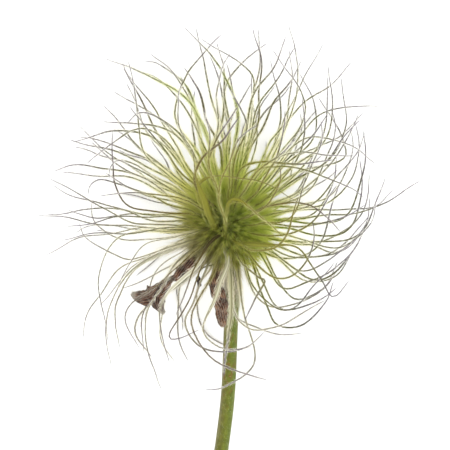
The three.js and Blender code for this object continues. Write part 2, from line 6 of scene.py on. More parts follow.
import bpy
import numpy as np
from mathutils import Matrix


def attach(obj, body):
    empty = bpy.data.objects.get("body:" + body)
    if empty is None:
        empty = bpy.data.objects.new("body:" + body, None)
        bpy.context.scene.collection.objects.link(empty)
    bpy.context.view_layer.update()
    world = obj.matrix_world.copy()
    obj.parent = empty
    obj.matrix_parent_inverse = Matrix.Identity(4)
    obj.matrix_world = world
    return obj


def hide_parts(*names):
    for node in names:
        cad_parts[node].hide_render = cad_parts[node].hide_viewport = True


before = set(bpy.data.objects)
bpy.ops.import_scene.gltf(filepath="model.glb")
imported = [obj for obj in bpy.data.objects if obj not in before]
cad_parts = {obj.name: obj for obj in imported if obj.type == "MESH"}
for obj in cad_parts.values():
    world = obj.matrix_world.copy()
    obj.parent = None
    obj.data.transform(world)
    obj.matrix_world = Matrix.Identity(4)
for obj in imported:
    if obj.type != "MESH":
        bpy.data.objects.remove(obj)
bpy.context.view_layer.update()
scene = bpy.context.scene

MM = 0.001
TURN = 2 * math.pi

# The camera stands over the head, as far away as the photograph asks
CAMERA_AT = (-0.48, 0.24, 826)
CAMERA_LENS = 266.7

# The surface, and the lamps: where each hangs, how wide it is and its strength, in metres and watts
SURFACE_HALF = 2500
SURFACE_DROP = 0.03
LAMPS = {"key": ((0.9, 0.9, 1.3), 1.0, 30), "fill": ((-1.2, 0.3, 1.4), 1.6, 11)}
LAMP_AIM = (0, 0, 0.02)
SKY_STRENGTH = 1.7

# The head: its middle, its core and the roots that its awns grow from
MIDDLE = np.array([0, 0, 26.0])
CORE_RADIUS = 5.6
CORE_RISE = 7
SEED = 20417
SEED_STRIDE = 2654435761
ROOT_COUNT = 250
STEM_CONE = 38
UNDRIED_SHARE = 0.72

# How an awn rises, keeps clear of the other pieces and settles onto the surface
AWN_RADIUS = 0.42
GAP = 0.3
SPARE = 0.15
LIFT_SHARE = 0.8
BEND_REACH = 12
BEND_EXTRA = 0.05
ROOT_HOLD = 4
BEND_TRIES = 12
CLEAR_ENOUGH = 0.01
FLOOR = 0.2
FLOOR_BLEND = 7
LANDING = 2.2

# The stem
STEM_RADIUS = 1.7
KNOB_RADIUS = 2.4
KNOB_END = 3.4
NECK_END = 8.5
STEM_SIDES = 36
STEM_STEP = 0.6
STEM_RIBS = 9
DOWN_HAIRS = 6400

# The rounded edge of the cut: steps back from the end, and the share of the radius at each
CUT_EDGE = [(0.09, 1), (0.04, 0.97), (0.01, 0.6), (0, 0)]

# An awn's seed is sunk into the core. Its radius goes by distance, and that of the thread by the
# share of its length. Each waver is a size and the shortest and longest of its wavelengths.
AWN_SIDES = 6
STRAP_SIDES = 14
STRAP_FADE = 0.3
SUNK = 1.6
SEED_END = 4
SEED_PROFILE = [(-1.6, 0.3), (0, 0.5), (1, 0.62), (2.4, 0.48), (4, 0.3)]
THREAD_PROFILE = [(0.08, 0.26), (0.2, 0.192), (0.5, 0.18), (0.75, 0.172), (0.9, 0.12), (1, 0.067)]
WAVERS = [(0.14, 11, 18), (0.02, 5, 8)]
WAVER_STEP = 0.7

# The silky hairs of an awn, by the share of its length: how many to a millimetre, and how long
HAIR_DENSITY = [(0.06, 40), (0.22, 38), (0.38, 23), (0.52, 19), (0.7, 19), (0.95, 16)]
HAIR_LENGTH = [(0.06, 1.7), (0.22, 1.5), (0.4, 1.15), (0.55, 1.0), (0.8, 0.9), (0.95, 0.65)]
HAIR_ANGLE = (9, 27)
HAIR_FLOOR = 0.01
HAIR_WIDTH = 0.03
FRINGE_LIFT = 0.58

# Between which heights an awn's tip makes it young or shaded, between which heights a strap turns
# olive, and how near the head's middle an awn has to pass for its shade to show
YOUNG_TIP = (42, 50)
HIGH_TIP = (40, 49)
OLIVE_HEIGHT = (38, 46)
SHADED_REACH = (24, 15)

# The core, and the hairs of each seed: where along it they start, and its radius there
CORE_RINGS = 40
CORE_SIDES = 60
TUFT_HAIRS = 190
TUFT_START = (0.2, 4.2)
TUFT_ANGLE = (3, 24)
TUFT_LENGTH = (2.4, 5.4)
TUFT_WIDTH = (0.028, 0.048)
TUFT_PROFILE = [(0, 0.5), (1, 0.6), (4, 0.25)]
LIT_WAY = (0.6, 0.75, 0.25)

# A withered tepal's blade
BLADE_COLUMNS = 15
BLADE_STEP = 0.22
BLADE_HALF = 0.13
WOOL_ROW = 7
WOOL_WIDTH = 0.018

# How an awn bends, by the heading it leaves with: the heading, the usual turn and how far that
# turn varies, and the share of the roots there that still hold an awn
BENDS = [
    (-180, -12, 26, 0.4), (-165, 35, 26, 0.3), (-140, 65, 28, 0.3), (-115, 95, 30, 0.35),
    (-90, 120, 30, 0.4), (-60, 120, 28, 0.2), (-30, 105, 28, 0.25), (0, 90, 28, 0.35),
    (20, 68, 35, 0.6), (45, 28, 40, 0.85), (70, 5, 42, 0.85), (90, -12, 45, 0.85), (110, -18, 48, 0.8),
    (135, -8, 45, 0.7), (155, -5, 38, 0.55), (180, -12, 26, 0.4),
]

# By the heading an awn leaves with: how pale it has withered, how far along it its colours have
# aged, how dense its hairs are, and how stout it is
PALE_SECTOR = [
    (-180, 0.3), (-165, 0.7), (-150, 1), (-120, 1), (-95, 0.6), (-75, 0.4), (-62, 0), (145, 0),
    (180, 0.3),
]
AGE_SECTOR = [(-180, 1), (-60, 1), (-20, 0.9), (30, 0.86), (60, 0.74), (125, 0.72), (150, 0.82), (180, 1)]
FRINGE_SECTOR = [
    (-180, 0.4), (-140, 0.4), (-115, 0.75), (-75, 0.56), (-30, 0.6), (10, 0.8), (50, 0.95),
    (80, 1.15), (110, 1.3), (130, 1.3), (155, 1.1), (180, 0.4),
]
STOUT_SECTOR = [
    (-180, 0.8), (-150, 0.72), (-120, 0.98), (-70, 1.1), (-50, 1.14), (-25, 1.08), (10, 1),
    (50, 0.88), (90, 1.22), (130, 1.04), (160, 0.97), (180, 0.83),
]

# The stem's middle line, from the knob inside the head to the cut end
STEM_LINE = [
    (-0.1, 2.2, 26.4), (0, 0, 26), (0.5, -3.4, 25.3), (1.1, -8, 24.3), (1.3, -13, 23),
    (0.9, -25, 19.2), (0.3, -40.8, 12.8), (-1.2, -53.8, 7.6), (-3.1, -65.8, 3.8), (-5.4, -79, 2),
    (-6.6, -85, 1.7),
]

# The blades of the withered tepals. Each row holds a point, then half the width and half the
# thickness there, how deep its channel is, and its roll.
LEFT_BLADE = [
    (-1.7, -8.2, 24.9, 0.7, 0.55, 0.1, 10),
    (-4.6, -7, 26.9, 1.4, 0.5, 0.4, 25),
    (-7.5, -8, 28, 1.75, 0.45, 0.6, 20),
    (-9.8, -9.8, 28.1, 1.75, 0.45, 0.7, 10),
    (-11.8, -12, 27.7, 1.1, 0.45, 0.5, 5),
    (-13.6, -13, 27.2, 0.8, 0.5, 0.3, -15),
    (-15.6, -15, 26.8, 1.6, 0.45, 0.7, -15),
    (-18.6, -16.9, 26.3, 2.2, 0.45, 0.8, 0),
    (-20.8, -17, 26, 1.6, 0.45, 0.6, 10),
    (-22.9, -16.3, 25.8, 0.5, 0.45, 0.2, 10),
]
LEFT_LOBE = [
    (-14.6, -14.4, 27, 0.8, 0.4, 0.2, -10),
    (-15.6, -16, 26.7, 1.3, 0.4, 0.4, -10),
    (-16.5, -18, 26.4, 1.8, 0.4, 0.6, 5),
    (-16.2, -19.6, 26, 1.2, 0.4, 0.4, 10),
    (-15.1, -20.9, 25.5, 0.5, 0.4, 0.2, 10),
]
LEFT_SPUR = [
    (-15.9, -14.6, 27.1, 0.7, 0.4, 0.2, 0),
    (-14.9, -13.4, 27.8, 0.8, 0.4, 0.3, 20),
    (-13.8, -12.4, 28.1, 0.5, 0.4, 0.1, 20),
]
RIGHT_BLADE = [
    (-0.15, -9.2, 26.25, 0.7, 0.5, 0.1, 0),
    (-1.9, -10.6, 26.9, 1.3, 0.5, 0.3, -15),
    (-2.6, -13.4, 26.9, 1.7, 0.45, 0.6, -20),
    (-1.9, -16.4, 26.5, 1.7, 0.45, 0.7, -20),
    (-1.3, -19, 25.9, 1.55, 0.45, 0.7, -10),
    (-1.3, -21.4, 25.2, 1.5, 0.5, 0.6, 0),
    (-1.1, -23.2, 24.6, 1.1, 0.5, 0.3, 5),
    (-1.1, -24.2, 24.3, 0.5, 0.45, 0.1, 5),
]
TEPALS = {"tepal_left": [LEFT_BLADE, LEFT_LOBE, LEFT_SPUR], "tepal_right": [RIGHT_BLADE]}

# One dried stamen below the head
STAMEN_LINE = [
    (-0.9, -8.65, 22.75), (-3.6, -9.4, 24.2), (-6, -10.2, 26.6), (-6.9, -12.2, 27.8),
    (-6.5, -14.6, 28),
]
STAMEN_SIDES = 8
STAMEN_RADIUS = 0.16
ANTHER_SWELL = 0.36
ANTHER_RADIUS = 0.6

# The awn that lies under the middle of the head
REST_DARK = 0.3
REST_WAY = (-0.45, -0.3, -0.84)
REST_LINE = [
    (-6, -4, 6), (-4.5, -3, 1.5), (-2.5, -1.5, FLOOR), (3, 2, FLOOR), (14, 9, FLOOR),
    (24, 18, FLOOR),
]

# Awns placed one by one: how far the tip ends above or below the middle of the head, then x and y of
# each point that the awn passes in plan
ROUTES = [
    (8, -9.5, 0, -17.5, 0.5, -23.5, 1, -30.5, 5, -42.5, 11.5),
    (-12, -9.5, 1.5, -18.5, 3, -27, 2.5, -33, 2, -39, 4),
    (14, -10, 3, -18.5, 3.5, -23.5, 5, -26.5, 10, -27, 14.5, -27, 22.5),
    (-16, -13, 6, -19.5, 7.5, -26, 10, -31, 11.5, -33.5, 10, -34, 7.5),
    (5, -12.5, 8.5, -21, 12, -30.5, 14, -36.5, 14.5, -41.5, 13),
    (20, -13.5, 9, -21.5, 13.5, -25.5, 15.5, -27.5, 13.5, -27.5, 11),
    (-8, -9, 8.5, -18.5, 14, -27, 18, -35, 20, -38.5, 21),
    (6, -7.5, 10.5, -14, 18, -19.5, 22, -27.5, 22.5, -36.5, 20),
    (-18, -11.5, 11, -19, 17, -25, 22, -28, 24),
    (11, -9, 12, -14, 20, -20.5, 23, -27.5, 19.5, -33.5, 14.5),
    (-6, -9.5, 14.5, -15.5, 25, -19.5, 31, -25.5, 38.5),
    (9, -12.5, 11, -19, 16.5, -21, 23, -21.5, 30, -23.5, 39.5),
    (-13, -9, 18, -15, 25, -22, 29.5, -28, 33),
    (18, -10, 20, -16, 25.5, -20.5, 26.5, -23.5, 24),
    (2, -9, 18, -15, 23.5, -23.5, 24.5, -30, 25),
    (-3, -6.5, -1, -21.5, -1.5, -27, -3.5, -31, -12, -30, -19.5, -28.5, -28.5),
    (5, -7.5, -3.5, -21, -9, -27, -17, -29, -24, -27.5, -34),
    (-9, -9, -4, -21.5, -10, -26.5, -17.5, -27, -23, -26, -30),
    (12, -9, -3.5, -19.5, -7, -25, -7.5, -33, -3, -35, 1),
    (-14, -10, -2, -21.5, -3.5, -27.5, -2.5, -32.5, 1, -33, 6.5),
    (22, -11.5, -2.5, -18.5, -4, -23, -9, -26, -15.5),
    (-18, -5.5, -1, -16, -1.5, -27.5, 0, -34, 0, -37.5, -2),
    (-20, -7.5, -5.5, -15, -10.5, -21, -13.5, -26, -15.5),
    (14, -4.4, -4.6, -6.6, -9, -11, -12.7, -15, -17.5, -16, -22.5, -13.5, -32.5),
    (-6, -5.2, -7.8, -10.5, -13.2, -15.5, -17, -21, -21, -22, -26, -18, -32),
    (10, -6.5, -5, -12, -9.8, -16.5, -14.2, -22.5, -18, -24, -22.5, -20.5, -29.5),
    (12, -5.5, -8.5, -8.5, -16.5, -13.5, -25.5, -11.5, -26.5, -6.5, -24.5),
    (9, -5, -10, -8, -18, -10, -23, -6.5, -28.5, -0.5, -30, 6, -28.5),
    (13, -3.5, -12, -8.5, -21, -6.5, -27.5, -1, -33, 10, -36.5),
    (22, -1.2, -4.2, 0.2, -8.6, -2.2, -15.4, -5.5, -24, -1.5, -28.5, 4, -28.5, 9, -24.5),
    (5, 2.5, -7, 3.5, -18, 6.5, -30, 5, -35, -1, -38.5, -5.5, -39),
    (10, 0.5, -8.5, 1.5, -19.5, 5.5, -24.5, 11.5, -24, 18, -20.5, 23.5, -17.5),
    (-8, 3, -7.5, 6, -15.5, 11, -19.5, 18, -18.5, 24, -14.5, 27.5, -9.5),
    (4, 5.5, -7, 9, -18, 12, -23.5, 18.5, -23.5, 23.5, -18, 25.5, -13),
    (-15, 5, -6, 8.5, -13, 12.5, -20, 21, -19, 27, -15),
    (20, 3, -8, 7, -12, 9, -13, 6, -18, 4, -22.5),
    (9, 7.5, -6, 13, -14.5, 20, -13, 27, -9, 31, -4.5),
    (-12, 8.5, -6, 13.5, -15, 17.5, -18, 24, -14.5, 27, -8.5),
    (16, 10.5, -6, 17, -10.5, 24, -8, 31, -2.5),
    (3, 10, -5.5, 19.5, -12.5, 26, -11, 31, -4.5, 32.5, -0.5),
    (-6, 8.5, -4.5, 18.5, -13, 25.5, -12.5, 30, -7, 33.5, -0.5),
    (26, 0.9, -2.3, 3.2, -4.2, 11.5, -4.5, 17, -5.5, 21.5, -12, 24.5, -16.5, 28.5, -12.5),
    (3, 10.5, 1, 23.5, 2.5, 34.5, 4, 46.5, 11),
    (22, 10.5, 5, 18.5, 5, 23.5, 2, 26.5, -1.5),
    (-20, 8.5, 5, 15, 6.5, 23.5, 11, 27.5, 14),
    (8, 10.5, 4.5, 23, 5, 29, 10.5, 31.5, 18, 30.5, 24.5),
    (-8, 10, 3.5, 24.5, 4, 35, 4.5, 40.5, 9),
    (18, 8.5, 0.5, 17.5, 0, 26, 1.5, 32.5, 5),
    (-4, 14, -0.5, 24, -2.5, 29.5, -0.5, 32.5, 7.5, 32, 16.5),
    (12, 10.5, -1, 18.5, -3.5, 27, -5, 33.5, 0, 35.5, 7),
    (-13, 10, -3, 20.5, -4.5, 27, -6.5, 33.5, 0, 35, 7.5),
    (5, 10.5, 1.5, 26, 1, 31, 7.5, 33, 17, 32.5, 23),
    (-7, 10.5, 7, 24.5, 16, 28.5, 23, 28.5, 29.5, 27.5, 36.5),
    (4, 8.5, 16, 11, 21, 18, 29, 24.5, 33.5, 30, 39.5),
    (10, 11.5, 13.5, 15.5, 19, 20.5, 21, 28.5, 19.5, 35.5, 14.5),
    (-5, 12.5, 14.5, 18, 22, 24.5, 28, 37.5, 29),
    (-10, 8.5, 14.5, 12.5, 23, 13, 29, 10.5, 40.5),
    (6, 10.5, 16, 15, 26, 17, 37, 14.5, 48.5),
    (-4, 8.5, 13.5, 14, 26, 18, 34.5, 23.5, 44.5),
    (13, 10.5, 14.5, 18, 25, 17.5, 31.5, 10.5, 42),
    (-12, 14, 14.5, 21, 21.5, 21.5, 29, 17.5, 37.5),
    (7, 15, 13.5, 23.5, 20.5, 25, 29, 24, 38.5),
    (-9, 17.5, 13, 28, 16, 28.5, 20, 25.5, 26, 22, 31.5),
    (17, 9, 14, 16.5, 17.5, 23.5, 16.5, 30, 16.5),
    (-15, 11.5, 13.5, 22.5, 19.5, 28.5, 22.5, 33.5, 28),
    (-8, -3.5, 18, -1, 26.5, 0, 34.5, 4, 40, 10, 44.5),
    (5, -7.5, 18, -12.5, 26.5, -9.5, 36, -5, 42, -1, 46),
    (9, 2, 20.5, 2.5, 28, 0, 34.5, -5, 42, -10.5, 47.5),
    (-3, -0.5, 18, -3.5, 30, -6, 41, -7.5, 48),
    (11, 3, 18, 6.5, 33, 3, 38.5, -6.5, 44.5),
    (-6, 5, 18, 6, 29, 8, 40, 7.5, 48),
    (14, 3.5, 16, 6, 30, 11, 37.5, 14, 45),
    (4, -5, 18, -9, 26.5, -16, 35, -21.5, 37),
    (-12, -6, 18, -7, 26, -10, 34, -16.5, 39.5, -20.5, 40),
    (-7, -5.5, 18, -9, 30.5, -13.5, 37.5, -19, 42),
    (17, -6.5, 14.5, -11, 23, -11.5, 30, -10.5, 34),
    (15, -3, 16, -2, 25.5, -2.5, 31.5, -1, 37.5, 1, 41),
    (-16, -1, 14.5, 1, 25.5, 3, 30, 6, 35),
    (21, 2, 16, 4.5, 23, 3, 28, 0, 33),
    (28, -7.5, 9.5, -5.5, 16, -1, 20, 3, 25.5),
    (26, 1, 16, 2.5, 20, 5.5, 22.5, 7.5, 23.5),
    (24, -0.5, -2.5, 0, 4.5, 2.5, 6, 7, 3, 13, -2.5),
    (25, -3.5, 1.5, -7, 8, -5.5, 11, 0.5, 11.5, 8.5, 10, 17.5, 5),
    (22, 3, 13, 8.5, 15, 17.5, 14.5, 25, 15.5),
    (23, 4.5, 12, 11.5, 14, 20, 12.5, 28.5, 9, 32, 6.5),
    (27, -3, 0, -6, 7.5, -7.5, 13.5, -8, 18),
    (8, -3.5, 16, -6, 24.5, -9.5, 30, -17, 35, -29.5, 40),
    (12, 0.6, -9, 1.1, -19, 0.4, -24, -0.1, -28.6, -0.8, -35.8),
    (28, -1, -1.4, -3.4, -3.4, -5.8, -6.4, -8, -11, -12, -21),
]

# Which of the listed awns are dried to a dark brown, which are a fresh green, and which have
# few hairs. Which are broad straps: up to which share of their length, how much wider, and how pale.
DARK_ROUTES = {2, 25, 26, 28, 43, 79, 88}
GREEN_ROUTES = {67, 73, 86}
BARE_ROUTES = {26, 27}
STRAP_ROUTES = {
    16: (0.6, 0.14, 1), 17: (0.55, 0.12, 1), 22: (0.7, 0.14, 1), 23: (0.7, 0.3, 1),
    24: (0.5, 0.25, 1), 29: (0.6, 0.32, 0.8), 41: (0.5, 0.4, 0), 79: (0.3, 0.3, 0),
    81: (0.75, 0.28, 0), 82: (0.52, 0.6, 0), 85: (0.85, 0.6, 0), 87: (0.8, 0.16, 0.6),
    88: (0.65, 0.22, 0),
}


def unit(vectors):
    """The same directions with length one."""
    vectors = np.asarray(vectors, float)
    return vectors / np.linalg.norm(vectors, axis=-1, keepdims=True)


def smooth(t):
    """A soft step from 0 to 1 as t goes from 0 to 1."""
    t = np.clip(t, 0, 1)
    return t * t * (3 - 2 * t)


def rise(value, start, end):
    """A soft step from 0 to 1 as a value goes from start to end."""
    return smooth((value - start) / (end - start))


def lerp(table, at):
    """A value read off a table of (place, value) pairs."""
    places, values = zip(*table)
    return np.interp(at, places, values)


def make_random(seed):
    """A draw between 0 and 1 that gives the same values in every run."""
    state = seed & 0xFFFFFFFF

    def draw(low=0.0, high=1.0):
        nonlocal state
        state = (state * 1664525 + 1013904223) & 0xFFFFFFFF
        return low + (high - low) * state / 4294967296

    for _ in range(4):
        draw()
    return draw


def smooth_line(rows, steps):
    """A smooth line through rows of numbers of any length."""
    rows = np.asarray(rows, float)
    ends = np.vstack([2 * rows[0] - rows[1], rows, 2 * rows[-1] - rows[-2]])
    t = (np.arange(steps) / steps)[:, None]
    made = []
    for a, b, c, d in zip(ends, ends[1:], ends[2:], ends[3:]):
        bend = (2 * a - 5 * b + 4 * c - d) * t**2 + (3 * b - a - 3 * c + d) * t**3
        made.append(0.5 * (2 * b + (c - a) * t + bend))
    return np.vstack([*made, rows[-1:]])


def run_of(points):
    """How far along a line each of its points lies."""
    return np.concatenate([[0], np.cumsum(np.linalg.norm(np.diff(points, axis=0), axis=1))])


def at_distances(points, distances):
    """The rows of a line at given distances from its start."""
    run = run_of(points[:, :3])
    return np.stack([np.interp(distances, run, column) for column in points.T], axis=1)


def frames_of(points):
    """Tangents, and two directions across the line at each point, carried from its far end."""
    tangents = unit(np.vstack([points[1] - points[0], points[2:] - points[:-2], points[-1] - points[-2]]))
    up = np.array([0, 0, 1.0])
    ups = np.empty_like(tangents)
    for i in range(len(points) - 1, -1, -1):
        up = up - tangents[i] * (up @ tangents[i])
        up = up / np.linalg.norm(up)
        ups[i] = up
    return tangents, ups, np.cross(tangents, ups)


def frames_at(line, distances):
    """Points, tangents and both directions across a line, at given distances from its start."""
    rows = at_distances(np.hstack([line, *frames_of(line)]), distances)
    return rows[:, :3], rows[:, 3:6], rows[:, 6:9], rows[:, 9:]


def heading_of(way):
    """Where a direction points in plan, in degrees."""
    return math.degrees(math.atan2(way[1], way[0]))


def lit_share(way):
    """How much of the light falls on what grows that way."""
    return smooth(0.3 + 0.8 * float(unit(way) @ unit(LIT_WAY)))


def stem_radius(distance):
    neck = rise(distance, KNOB_END, NECK_END)
    dome = np.sqrt(np.minimum(1, (distance + 0.5) / KNOB_END))
    return (KNOB_RADIUS + (STEM_RADIUS - KNOB_RADIUS) * neck) * dome


# The lines of the awns

HEAD_AXIS = unit((-0.05, 0.97, 0.2))
SIDE_AXIS = unit(np.cross(HEAD_AXIS, (0, 0, 1)))
FRONT_AXIS = np.cross(SIDE_AXIS, HEAD_AXIS)


def root_way(i):
    """The way in which root number i leaves the middle of the head."""
    lowest = -math.cos(math.radians(STEM_CONE))
    height = 1 - (1 - lowest) * (i + 0.5) / ROOT_COUNT
    reach = math.sqrt(1 - height * height)
    turn = i * math.pi * (3 - math.sqrt(5))
    return height * HEAD_AXIS + reach * (math.cos(turn) * SIDE_AXIS + math.sin(turn) * FRONT_AXIS)


def on_core(way):
    return MIDDLE + CORE_RADIUS * way + (CORE_RISE - CORE_RADIUS) * (way @ HEAD_AXIS) * HEAD_AXIS


def grown_awn(i, way):
    """An awn that grows by rule, or None where the root has lost its awn."""
    draw = make_random(SEED + i * SEED_STRIDE)
    leaving = heading_of(way)
    headings, *columns = np.array(BENDS, float).T
    usual, spread, kept = (np.interp(leaving, headings, column) for column in columns)
    if draw() > kept:
        return None
    heading = leaving + draw(-6, 6)
    steepness = math.degrees(math.asin(way[2])) + draw(-4, 4)
    bend = usual + spread * draw(-1, 1)
    turn_from = draw(0.08, 0.35)
    turn_to = draw(0.7, 1.1)
    length = draw(33, 43)
    level = draw(0.3, 1)
    sway = draw(5, 12)
    wave = draw(13, 22)
    phase = draw(0, TURN)
    steps = round(length)
    points = [on_core(way)]
    for k in range(steps):
        t = (k + 0.5) / steps
        turned = rise(t, turn_from, turn_to)
        swing = sway * math.sin(TURN * t * length / wave + phase)
        flat = math.radians(heading + bend * turned + swing)
        steep = math.radians(steepness * (1 - level * turned))
        step = np.array([math.cos(steep) * math.cos(flat), math.cos(steep) * math.sin(flat), math.sin(steep)])
        room = points[-1][2] - FLOOR
        if step[2] < 0 and room < FLOOR_BLEND:
            step[2] *= smooth((room + LANDING) / FLOOR_BLEND)
        point = points[-1] + unit(step) * length / steps
        point[2] = max(point[2], FLOOR)
        points.append(point)
    return np.array(points)


def lift_at(share):
    return np.sin(math.pi / 2 * np.minimum(1, share / LIFT_SHARE))


def route_way(lift, plan):
    run = run_of(np.array([(0, 0), *plan], float))
    return unit((*plan[0], lift * lift_at(run[1] / run[-1])))


def routed_awn(lift, plan, way):
    root = on_core(way)
    flat = smooth_line([root[:2], *plan], 8)
    run = run_of(flat)
    height = root[2] + (MIDDLE[2] + lift - root[2]) * lift_at(run / run[-1])
    return np.column_stack([flat, np.maximum(FLOOR, height)])


def resting_awn():
    points = smooth_line([on_core(unit(REST_WAY)), *REST_LINE], 8)
    points[:, 2] = np.maximum(FLOOR, points[:, 2])
    return points


def obstacle_points():
    """What the awns stay clear of: points, and the distance that an awn keeps from each."""
    clear = AWN_RADIUS + GAP + SPARE
    stem = smooth_line(STEM_LINE, 16)
    run = run_of(stem)
    beyond = run > NECK_END
    points, rooms = [stem[beyond]], [stem_radius(run[beyond]) + clear]
    for rows in sum(TEPALS.values(), []):
        line = smooth_line(rows, 6)
        points.append(line[:, :3])
        rooms.append(np.maximum(0.85 * line[:, 3], line[:, 4] + 0.5 * line[:, 5]) + clear)
    line = smooth_line(STAMEN_LINE, 8)
    points.append(line)
    rooms.append(np.full(len(line), ANTHER_RADIUS + clear))
    return np.vstack(points), np.concatenate(rooms)


def bend_clear(points, obstacles, rooms):
    """An awn bent clear of the obstacles, or None where it can't be bent clear."""
    bent = points.copy()
    for _ in range(BEND_TRIES):
        lack = rooms - np.linalg.norm(bent[:, None] - obstacles, axis=2)
        i, j = np.unravel_index(lack.argmax(), lack.shape)
        if lack[i, j] <= CLEAR_ENOUGH:
            return bent
        away = bent[i] - obstacles[j]
        if np.linalg.norm(away) < 0.4:
            away = np.array([0, 0, 1.0])
        run = run_of(bent)
        near = smooth(1 - np.abs(run - run[i]) / BEND_REACH) * smooth(run / ROOT_HOLD)
        bent += unit(away) * ((lack[i, j] + BEND_EXTRA) * near)[:, None]
        bent[:, 2] = np.maximum(bent[:, 2], FLOOR)
    return None


def awn_lines():
    """Every awn's line, how dark it has dried, how green it is, its strap values and how bare it is."""
    free = {i: root_way(i) for i in range(ROOT_COUNT)}

    def take_nearest(way):
        return free.pop(max(free, key=lambda i: free[i] @ way))

    take_nearest(np.array(REST_WAY))
    made = [(resting_awn(), REST_DARK, 0, None, 0)]
    for k, (lift, *places) in enumerate(ROUTES):
        plan = list(zip(places[::2], places[1::2]))
        way = take_nearest(route_way(lift, plan))
        looks = (k in DARK_ROUTES, k in GREEN_ROUTES, STRAP_ROUTES.get(k), k in BARE_ROUTES)
        made.append((routed_awn(lift, plan, way), *looks))
    for i, way in free.items():
        dark = max(0, make_random(SEED + 7 * i + 1)() - UNDRIED_SHARE) / 0.5
        made.append((grown_awn(i, way), dark, 0, None, 0))
    obstacles, rooms = obstacle_points()
    for line, *looks in made:
        clear = None if line is None else bend_clear(line, obstacles, rooms)
        if clear is not None:
            yield clear, *looks


# Meshes

def add_object(name, data):
    made = bpy.data.objects.new(name, data)
    scene.collection.objects.link(made)
    return made


def make_mesh(name, points, faces, material, soft=True, **values):
    """A mesh from points in millimetres, triangles or quads, and values for each point."""
    mesh = bpy.data.meshes.new(name)
    faces = np.asarray(faces, np.int32)
    sides = faces.shape[1]
    mesh.vertices.add(len(points))
    mesh.vertices.foreach_set("co", (np.asarray(points) * MM).astype(np.float32).ravel())
    mesh.loops.add(faces.size)
    mesh.loops.foreach_set("vertex_index", faces.ravel())
    mesh.polygons.add(len(faces))
    mesh.polygons.foreach_set("loop_start", np.arange(0, faces.size, sides, dtype=np.int32))
    mesh.polygons.foreach_set("use_smooth", np.full(len(faces), soft))
    mesh.update(calc_edges=True)
    for key, value in values.items():
        layer = mesh.attributes.new(key, "FLOAT", "POINT")
        layer.data.foreach_set("value", np.asarray(value, np.float32))
    mesh.materials.append(material)
    return add_object(name, mesh)


def join(parts):
    """Several (points, faces, values) as one, where values is a dict with a number for each point."""
    points, faces, values = zip(*parts)
    sizes = [len(rows) for rows in points]
    starts = np.cumsum([0, *sizes])
    faces = np.concatenate([rows + start for rows, start in zip(faces, starts)])
    joined = {}
    for key in values[0]:
        joined[key] = np.concatenate([np.broadcast_to(row[key], size) for row, size in zip(values, sizes)])
    return np.concatenate(points), faces, joined


def show(name, node, material, parts, soft=True):
    """One piece joined from parts. It rides on the one body and stands for one of its solids."""
    points, faces, values = join(parts)
    piece = make_mesh(name, points, faces, material, soft, **values)
    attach(piece, "root")
    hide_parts(node)


def triangles(a, b, c):
    return np.stack([a, b, c], axis=-1).reshape(-1, 3)


def ring_faces(rings, sides):
    """Triangles over rings of points, which are closed by a first and a last point."""
    k = np.arange(sides)
    after = (k + 1) % sides
    first = triangles(0 * k, 1 + k, 1 + after)
    low = 1 + np.arange(rings - 1)[:, None] * sides
    a, b = low + k, low + after
    c, d = b + sides, a + sides
    end = 1 + (rings - 1) * sides
    last = triangles(end + k, end + sides + 0 * k, end + after)
    return np.concatenate([first, triangles(a, d, c), triangles(a, c, b), last])


def circles(sides, first, second):
    """Corners round a circle of radius one, for each row of the two directions that span it."""
    angles = TURN * np.arange(sides) / sides
    return np.cos(angles)[:, None] * first[:, None] + np.sin(angles)[:, None] * second[:, None]


def tube(line, radii, sides):
    """A round tube, closed by a point at both ends. The first and last rows are those points."""
    _, ups, across = frames_of(line)
    points = line[1:-1, None] + circles(sides, across, ups)[1:-1] * radii[1:-1, None, None]
    points = np.vstack([line[:1], points.reshape(-1, 3), line[-1:]])
    points[:, 2] = np.maximum(points[:, 2], 0)
    return points, ring_faces(len(line) - 2, sides)


def capped(first, values, last):
    """Values for rings of points, with those of the two closing points."""
    return np.concatenate([[first], values, [last]])


def per_ring(values, sides):
    """A value for each point of a tube, from one for each row of its line."""
    return capped(values[0], np.repeat(values[1:-1], sides), values[-1])


def strands(roots, ways, lengths, widths, curls=None, segments=1):
    """Hairs as thin closed three-sided spikes. curls is how far each tip is bent away."""
    count = len(roots)
    ways = unit(ways)
    helper = np.where(np.abs(ways[:, 2:]) < 0.8, [[0, 0, 1.0]], [[1.0, 0, 0]])
    side = unit(np.cross(ways, helper))
    t = np.arange(segments + 1) / segments
    line = roots[:, None] + ways[:, None] * (lengths[:, None] * t)[..., None]
    if curls is not None:
        line = line + curls[:, None] * (t * t)[:, None]
    taper = widths[:, None] * (1 - t[:-1] ** 2)
    points = line[:, :-1, None] + circles(3, side, np.cross(ways, side))[:, None] * taper[..., None, None]
    points = np.concatenate([points.reshape(count, -1, 3), line[:, -1:]], axis=1)
    points[..., 2] = np.maximum(points[..., 2], HAIR_FLOOR)
    per_hair = 3 * segments + 1
    k = np.arange(3)
    after = (k + 1) % 3
    low = np.arange(segments - 1)[:, None] * 3
    a, b = low + k, low + after
    end = 3 * (segments - 1)
    tip = triangles(end + k, end + after, end + 3 + 0 * k)
    pattern = np.concatenate([[[0, 2, 1]], triangles(a, b, b + 3), triangles(a, b + 3, a + 3), tip])
    faces = pattern + np.arange(count)[:, None, None] * per_hair
    share = np.concatenate([np.repeat(t[:-1], 3), [1]])
    return points.reshape(-1, 3), faces.reshape(-1, 3), per_hair, np.tile(share, count)


